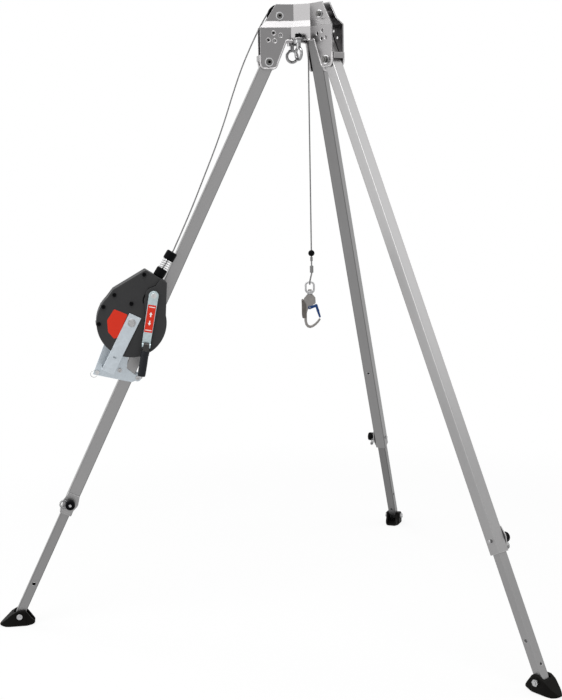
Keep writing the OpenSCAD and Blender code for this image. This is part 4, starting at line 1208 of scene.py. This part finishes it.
def coil_tree():
    """Geometry nodes: a round wire along a coil."""
    tree, source, keys = geometry_tree(
        "wire_coil", Height="Float", Radius="Float", Wire="Float", Turns="Float")
    spiral = wire(tree, "GeometryNodeCurveSpiral", {
        "Resolution": 40, "Height": source["Height"], "Rotations": source["Turns"],
        "Start Radius": source["Radius"], "End Radius": source["Radius"]})
    circle = wire(tree, "GeometryNodeCurvePrimitiveCircle", {"Resolution": 14, "Radius": source["Wire"]})
    mesh = wire(tree, "GeometryNodeCurveToMesh", {
        "Curve": spiral.outputs["Curve"], "Profile Curve": circle.outputs["Curve"], "Fill Caps": True})
    give_out(tree, mesh.outputs["Mesh"], FINISH["bright"])
    return tree, keys


class TRIPOD_OT_casing(bpy.types.Operator):
    """Finishes the casing, its rim bosses and its coloured field"""

    bl_idname = "tripod.casing"
    bl_label = "Winch casing"

    def execute(self, context):
        soften_all(
            ("case_front", "case", 2.5, 3), ("case_rear", "case", 2.5, 3), ("case_cover", "case", 2, 3),
            ("case_screws", "black", 0.7))
        rim = [facing_y(WINCH, x, CASE_FACE, z) for x, z in CASE_SCREWS]
        repeated("case_bosses", lathe(CASE_BOSS, 40), rim, "case", "upper_leg_a")
        # A black line painted as the shadow along the cover's raised edge
        line = smooth_path([point(WINCH, x, CASE_FACE + 0.4, z) for x, z in COVER_SHADOW_LINE], 3 * MM)
        new_piece("cover_seam", swept(line, SHADOW_LINE_RADIUS * MM, 10), "black", "upper_leg_a", 60)
        new_piece("case_field", foil(FIELD, 3, CASE_FACE, WINCH), "label", "upper_leg_a")
        for node in ("drum", "drum_axle", "recoil_spring", "crank_shaft", "drive_gear"):
            painted(node, "steel")
        painted("wound_rope", "rope")
        return {"FINISHED"}


class TRIPOD_OT_bracket(bpy.types.Operator):
    """Finishes the folded bracket, the clamp and the rope outlet"""

    bl_idname = "tripod.bracket"
    bl_label = "Winch bracket and outlet"

    def execute(self, context):
        bracket = softened("winch_bracket", "zinc", 0.7 * MM)
        pierced(bracket, slab(fillet(ARM_SLOT, 1.5), CASE_FACE - 4, CASE_FACE + 8, WINCH))
        soften_all(
            ("leg_clamp", "zinc", 0.7), ("bracket_bolts", "steel", 0.7), ("bracket_pin", "bright", 0.4),
            ("outlet_lower", "black", 1.5, 3), ("outlet_upper", "black", 1.5, 3))
        ring, place = lathe(washer(9, 13, 1.6, 0.5), 40), facing_y(WINCH, 0, CASE_FACE + 4, 0)
        repeated("bracket_washer", ring, [place], "steel", "upper_leg_a")
        self.coil()
        return {"FINISHED"}

    def coil(self):
        """The outlet's spring, seated on both buffers."""
        base, room, radius, thick, turns = COIL
        seat = thick / 2 + 0.15
        tree, keys = coil_tree()
        values = {
            keys["Height"]: (room - 2 * seat) * MM, keys["Radius"]: radius * MM,
            keys["Wire"]: thick / 2 * MM, keys["Turns"]: float(turns)}
        line = linked("coil_line", bpy.data.meshes.new("coil_line"))
        mesh = grown("outlet_spring", line, tree, values)
        mesh.transform(shifted(OUTLET, 0, 0, base + seat))
        node = "outlet_spring"
        piece = shown(node + "_piece", mesh, "bright", body_of(node), 60, False)
        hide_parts(node)


def is_hub(p):
    """Whether a point in the crank's frame lies on the raised hub."""
    return p.y > CRANK_FACE + 0.3 and math.hypot(p.x, p.z) < HUB


class TRIPOD_OT_crank(bpy.types.Operator):
    """Finishes the crank with its coloured band, and shapes the folding grip"""

    bl_idname = "tripod.crank"
    bl_label = "Crank"

    def execute(self, context):
        refinish(softened("crank_arm", "crank", 0.6 * MM), "bright", CRANK, is_hub)
        new_piece("crank_band", foil(BAND, 1, CRANK_FACE, CRANK), "label", "crank")
        prints = [[(x * way, z + h * way) for x, h in ARROW] for z, way in ARROWS_AT]
        prints += [rectangle(-10, z - 1.2, 10, z + 1.2) for z in BARS_AT]
        arrows = joined(slab(outline, *PRINT) for outline in prints)
        new_piece("crank_arrows", arrows, "white", "crank")
        self.grip()
        return {"FINISHED"}

    def grip(self):
        """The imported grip's tang, cut off above a turned sleeve with a stud at its end."""
        node = "crank_grip"
        axis = shifted(CRANK, 0, GRIP_AXIS, 0)
        tang = merged(node)
        bmesh.ops.bisect_plane(
            tang, geom=[*tang.verts, *tang.edges, *tang.faces], dist=0.0001 * MM,
            plane_co=point(CRANK, 0, 0, GRIP_START), plane_no=-CRANK.col[2].xyz, clear_outer=True)
        bmesh.ops.holes_fill(tang, edges=[e for e in tang.edges if e.is_boundary])
        rounded(tang, 0.6 * MM)
        stand_in(node, tang, "dark", name="grip_tang")
        stand_in(node, lathe(GRIP_SLEEVE, 48, axis), "grip", 40, "grip_sleeve")
        stand_in(node, lathe(GRIP_STUD, 32, axis), "steel", name="grip_stud")


# Hook

# Forms in the hook's frame. The rope hangs beside the swivel's axis.
ROPE_X = 7
FERRULE = (
    (0, -65.6), (4.2, -65.6), (5.4, -64.8), (6, -63.4), (6, -43.6), (5.4, -42.2), (4.2, -41.4), (0, -41.4))
SLEEVE = ((0, -27), (3.2, -27), (4.1, -26), (4.3, -24.5), (4.3, -13), (0, -13))
EYE = ((7, 3, -64), (7, 3.1, -67.5), (3.5, 6.5, -81), (0, 7.45, -97.2), (0, 6.65, -101.5), (0, 4.05, -103.3))
EYE_LOW = (0, 0, -103.4)
LINK_CORNERS = rectangle(-13.75, -131.25, 13.75, -97.25)[::-1]
LINK_RADIUS = 3.25
LINK_BOSS = ((0, -137), (8, -137), (9.2, -135.8), (9.6, -130), (9.6, -126.4), (8.6, -124.9), (0, -124.9))
# The lock lever's cheeks: where they start in X and Z, the height over which they come forward, and how far
CHEEK_BACK = -21
CHEEK_TOP = -163
CHEEK_RUN = 6
CHEEK = 5.5


class TRIPOD_OT_hook(bpy.types.Operator):
    """Shapes the rope's end and the swivel link, and finishes the snap hook"""

    bl_idname = "tripod.hook"
    bl_label = "Hook"

    def execute(self, context):
        softened("rope_ball", "black", 0.4 * MM)
        self.rope_end(context.scene.tripod_rope)
        self.link()
        soften_all(("hook_body", "forged", 0.8, 3), ("hook_gate", "gate", 0.6, 3))
        self.lever()
        return {"FINISHED"}

    def lever(self):
        """The lock lever, with its cheeks drawn forward over the spine."""
        bm = merged("hook_lever")
        back = HOOK.inverted()
        for v in bm.verts:
            q = back @ v.co / MM
            if q.x > CHEEK_BACK and q.z < CHEEK_TOP:
                v.co = point(HOOK, q.x + CHEEK * min(1, (CHEEK_TOP - q.z) / CHEEK_RUN), q.y, q.z)
        rounded(bm, 0.6 * MM, segments=3)
        stand_in("hook_lever", bm, "lever")

    def rope_end(self, rope):
        """The rope's tail from the stop ball, its eye, and the two pressed ferrules."""
        node = "rope_end"
        strands = rope_tree(rope)
        tail = [point(HOOK, ROPE_X, 0, -z) for z in range(2, 46, 2)]
        loop = [*EYE, EYE_LOW, *((x, -y, z) for x, y, z in reversed(EYE))]
        eye = smooth_path([point(HOOK, *q) for q in loop], 1.5 * MM)
        for name, path in (("rope_tail_strands", tail), ("rope_eye_strands", eye)):
            rope_piece(name, node, path, strands, body_of(node))
        axis = shifted(HOOK, ROPE_X, 0, 0)
        pressed = lathe(SLEEVE, 32, axis, lathe(FERRULE, 32, axis))
        stand_in(node, pressed, "ferrule", 40, "rope_ferrules")

    def link(self):
        """A round rod bent to a link, with the swivel's boss at its foot."""
        line = [point(HOOK, q.x, 0, q.y) for q in fillet(LINK_CORNERS, 11, 8)]
        bm = swept(line, LINK_RADIUS * MM, 14, closed=True)
        stand_in("swivel_link", lathe(LINK_BOSS, 36, HOOK, bm), "steel", 50)


class TRIPOD_PT_build(bpy.types.Panel):
    """Lists the steps that build the tripod"""

    bl_idname = "TRIPOD_PT_build"
    bl_label = "Rescue tripod"
    bl_space_type = "VIEW_3D"
    bl_region_type = "UI"
    bl_category = "Tripod"

    def draw(self, context):
        for step in STEPS:
            self.layout.operator(step.bl_idname)
        for name in SETTINGS:
            group = getattr(context.scene, name)
            box = self.layout.box()
            for key in group.__annotations__:
                box.prop(group, key)


SETTINGS = {
    "tripod_stage": TripodStage,
    "tripod_metal": TripodMetal,
    "tripod_rope": TripodRope,
    "tripod_winch": TripodWinch,
    "tripod_hook": TripodHook,
}
STEPS = (
    TRIPOD_OT_stage, TRIPOD_OT_hook, TRIPOD_OT_rope, TRIPOD_OT_head, TRIPOD_OT_legs, TRIPOD_OT_casing,
    TRIPOD_OT_bracket, TRIPOD_OT_crank,
)
CLASSES = (*SETTINGS.values(), *STEPS, TRIPOD_PT_build)


def register():
    for c in CLASSES:
        bpy.utils.register_class(c)
    for name, group in SETTINGS.items():
        setattr(bpy.types.Scene, name, bpy.props.PointerProperty(type=group))


def unregister():
    for name in SETTINGS:
        delattr(bpy.types.Scene, name)
    for c in reversed(CLASSES):
        bpy.utils.unregister_class(c)


def main():
    register()
    make_finishes(bpy.context.scene)
    for step in STEPS:
        group, name = step.bl_idname.split(".")
        getattr(getattr(bpy.ops, group), name)()


if __name__ == "__main__":
    main()
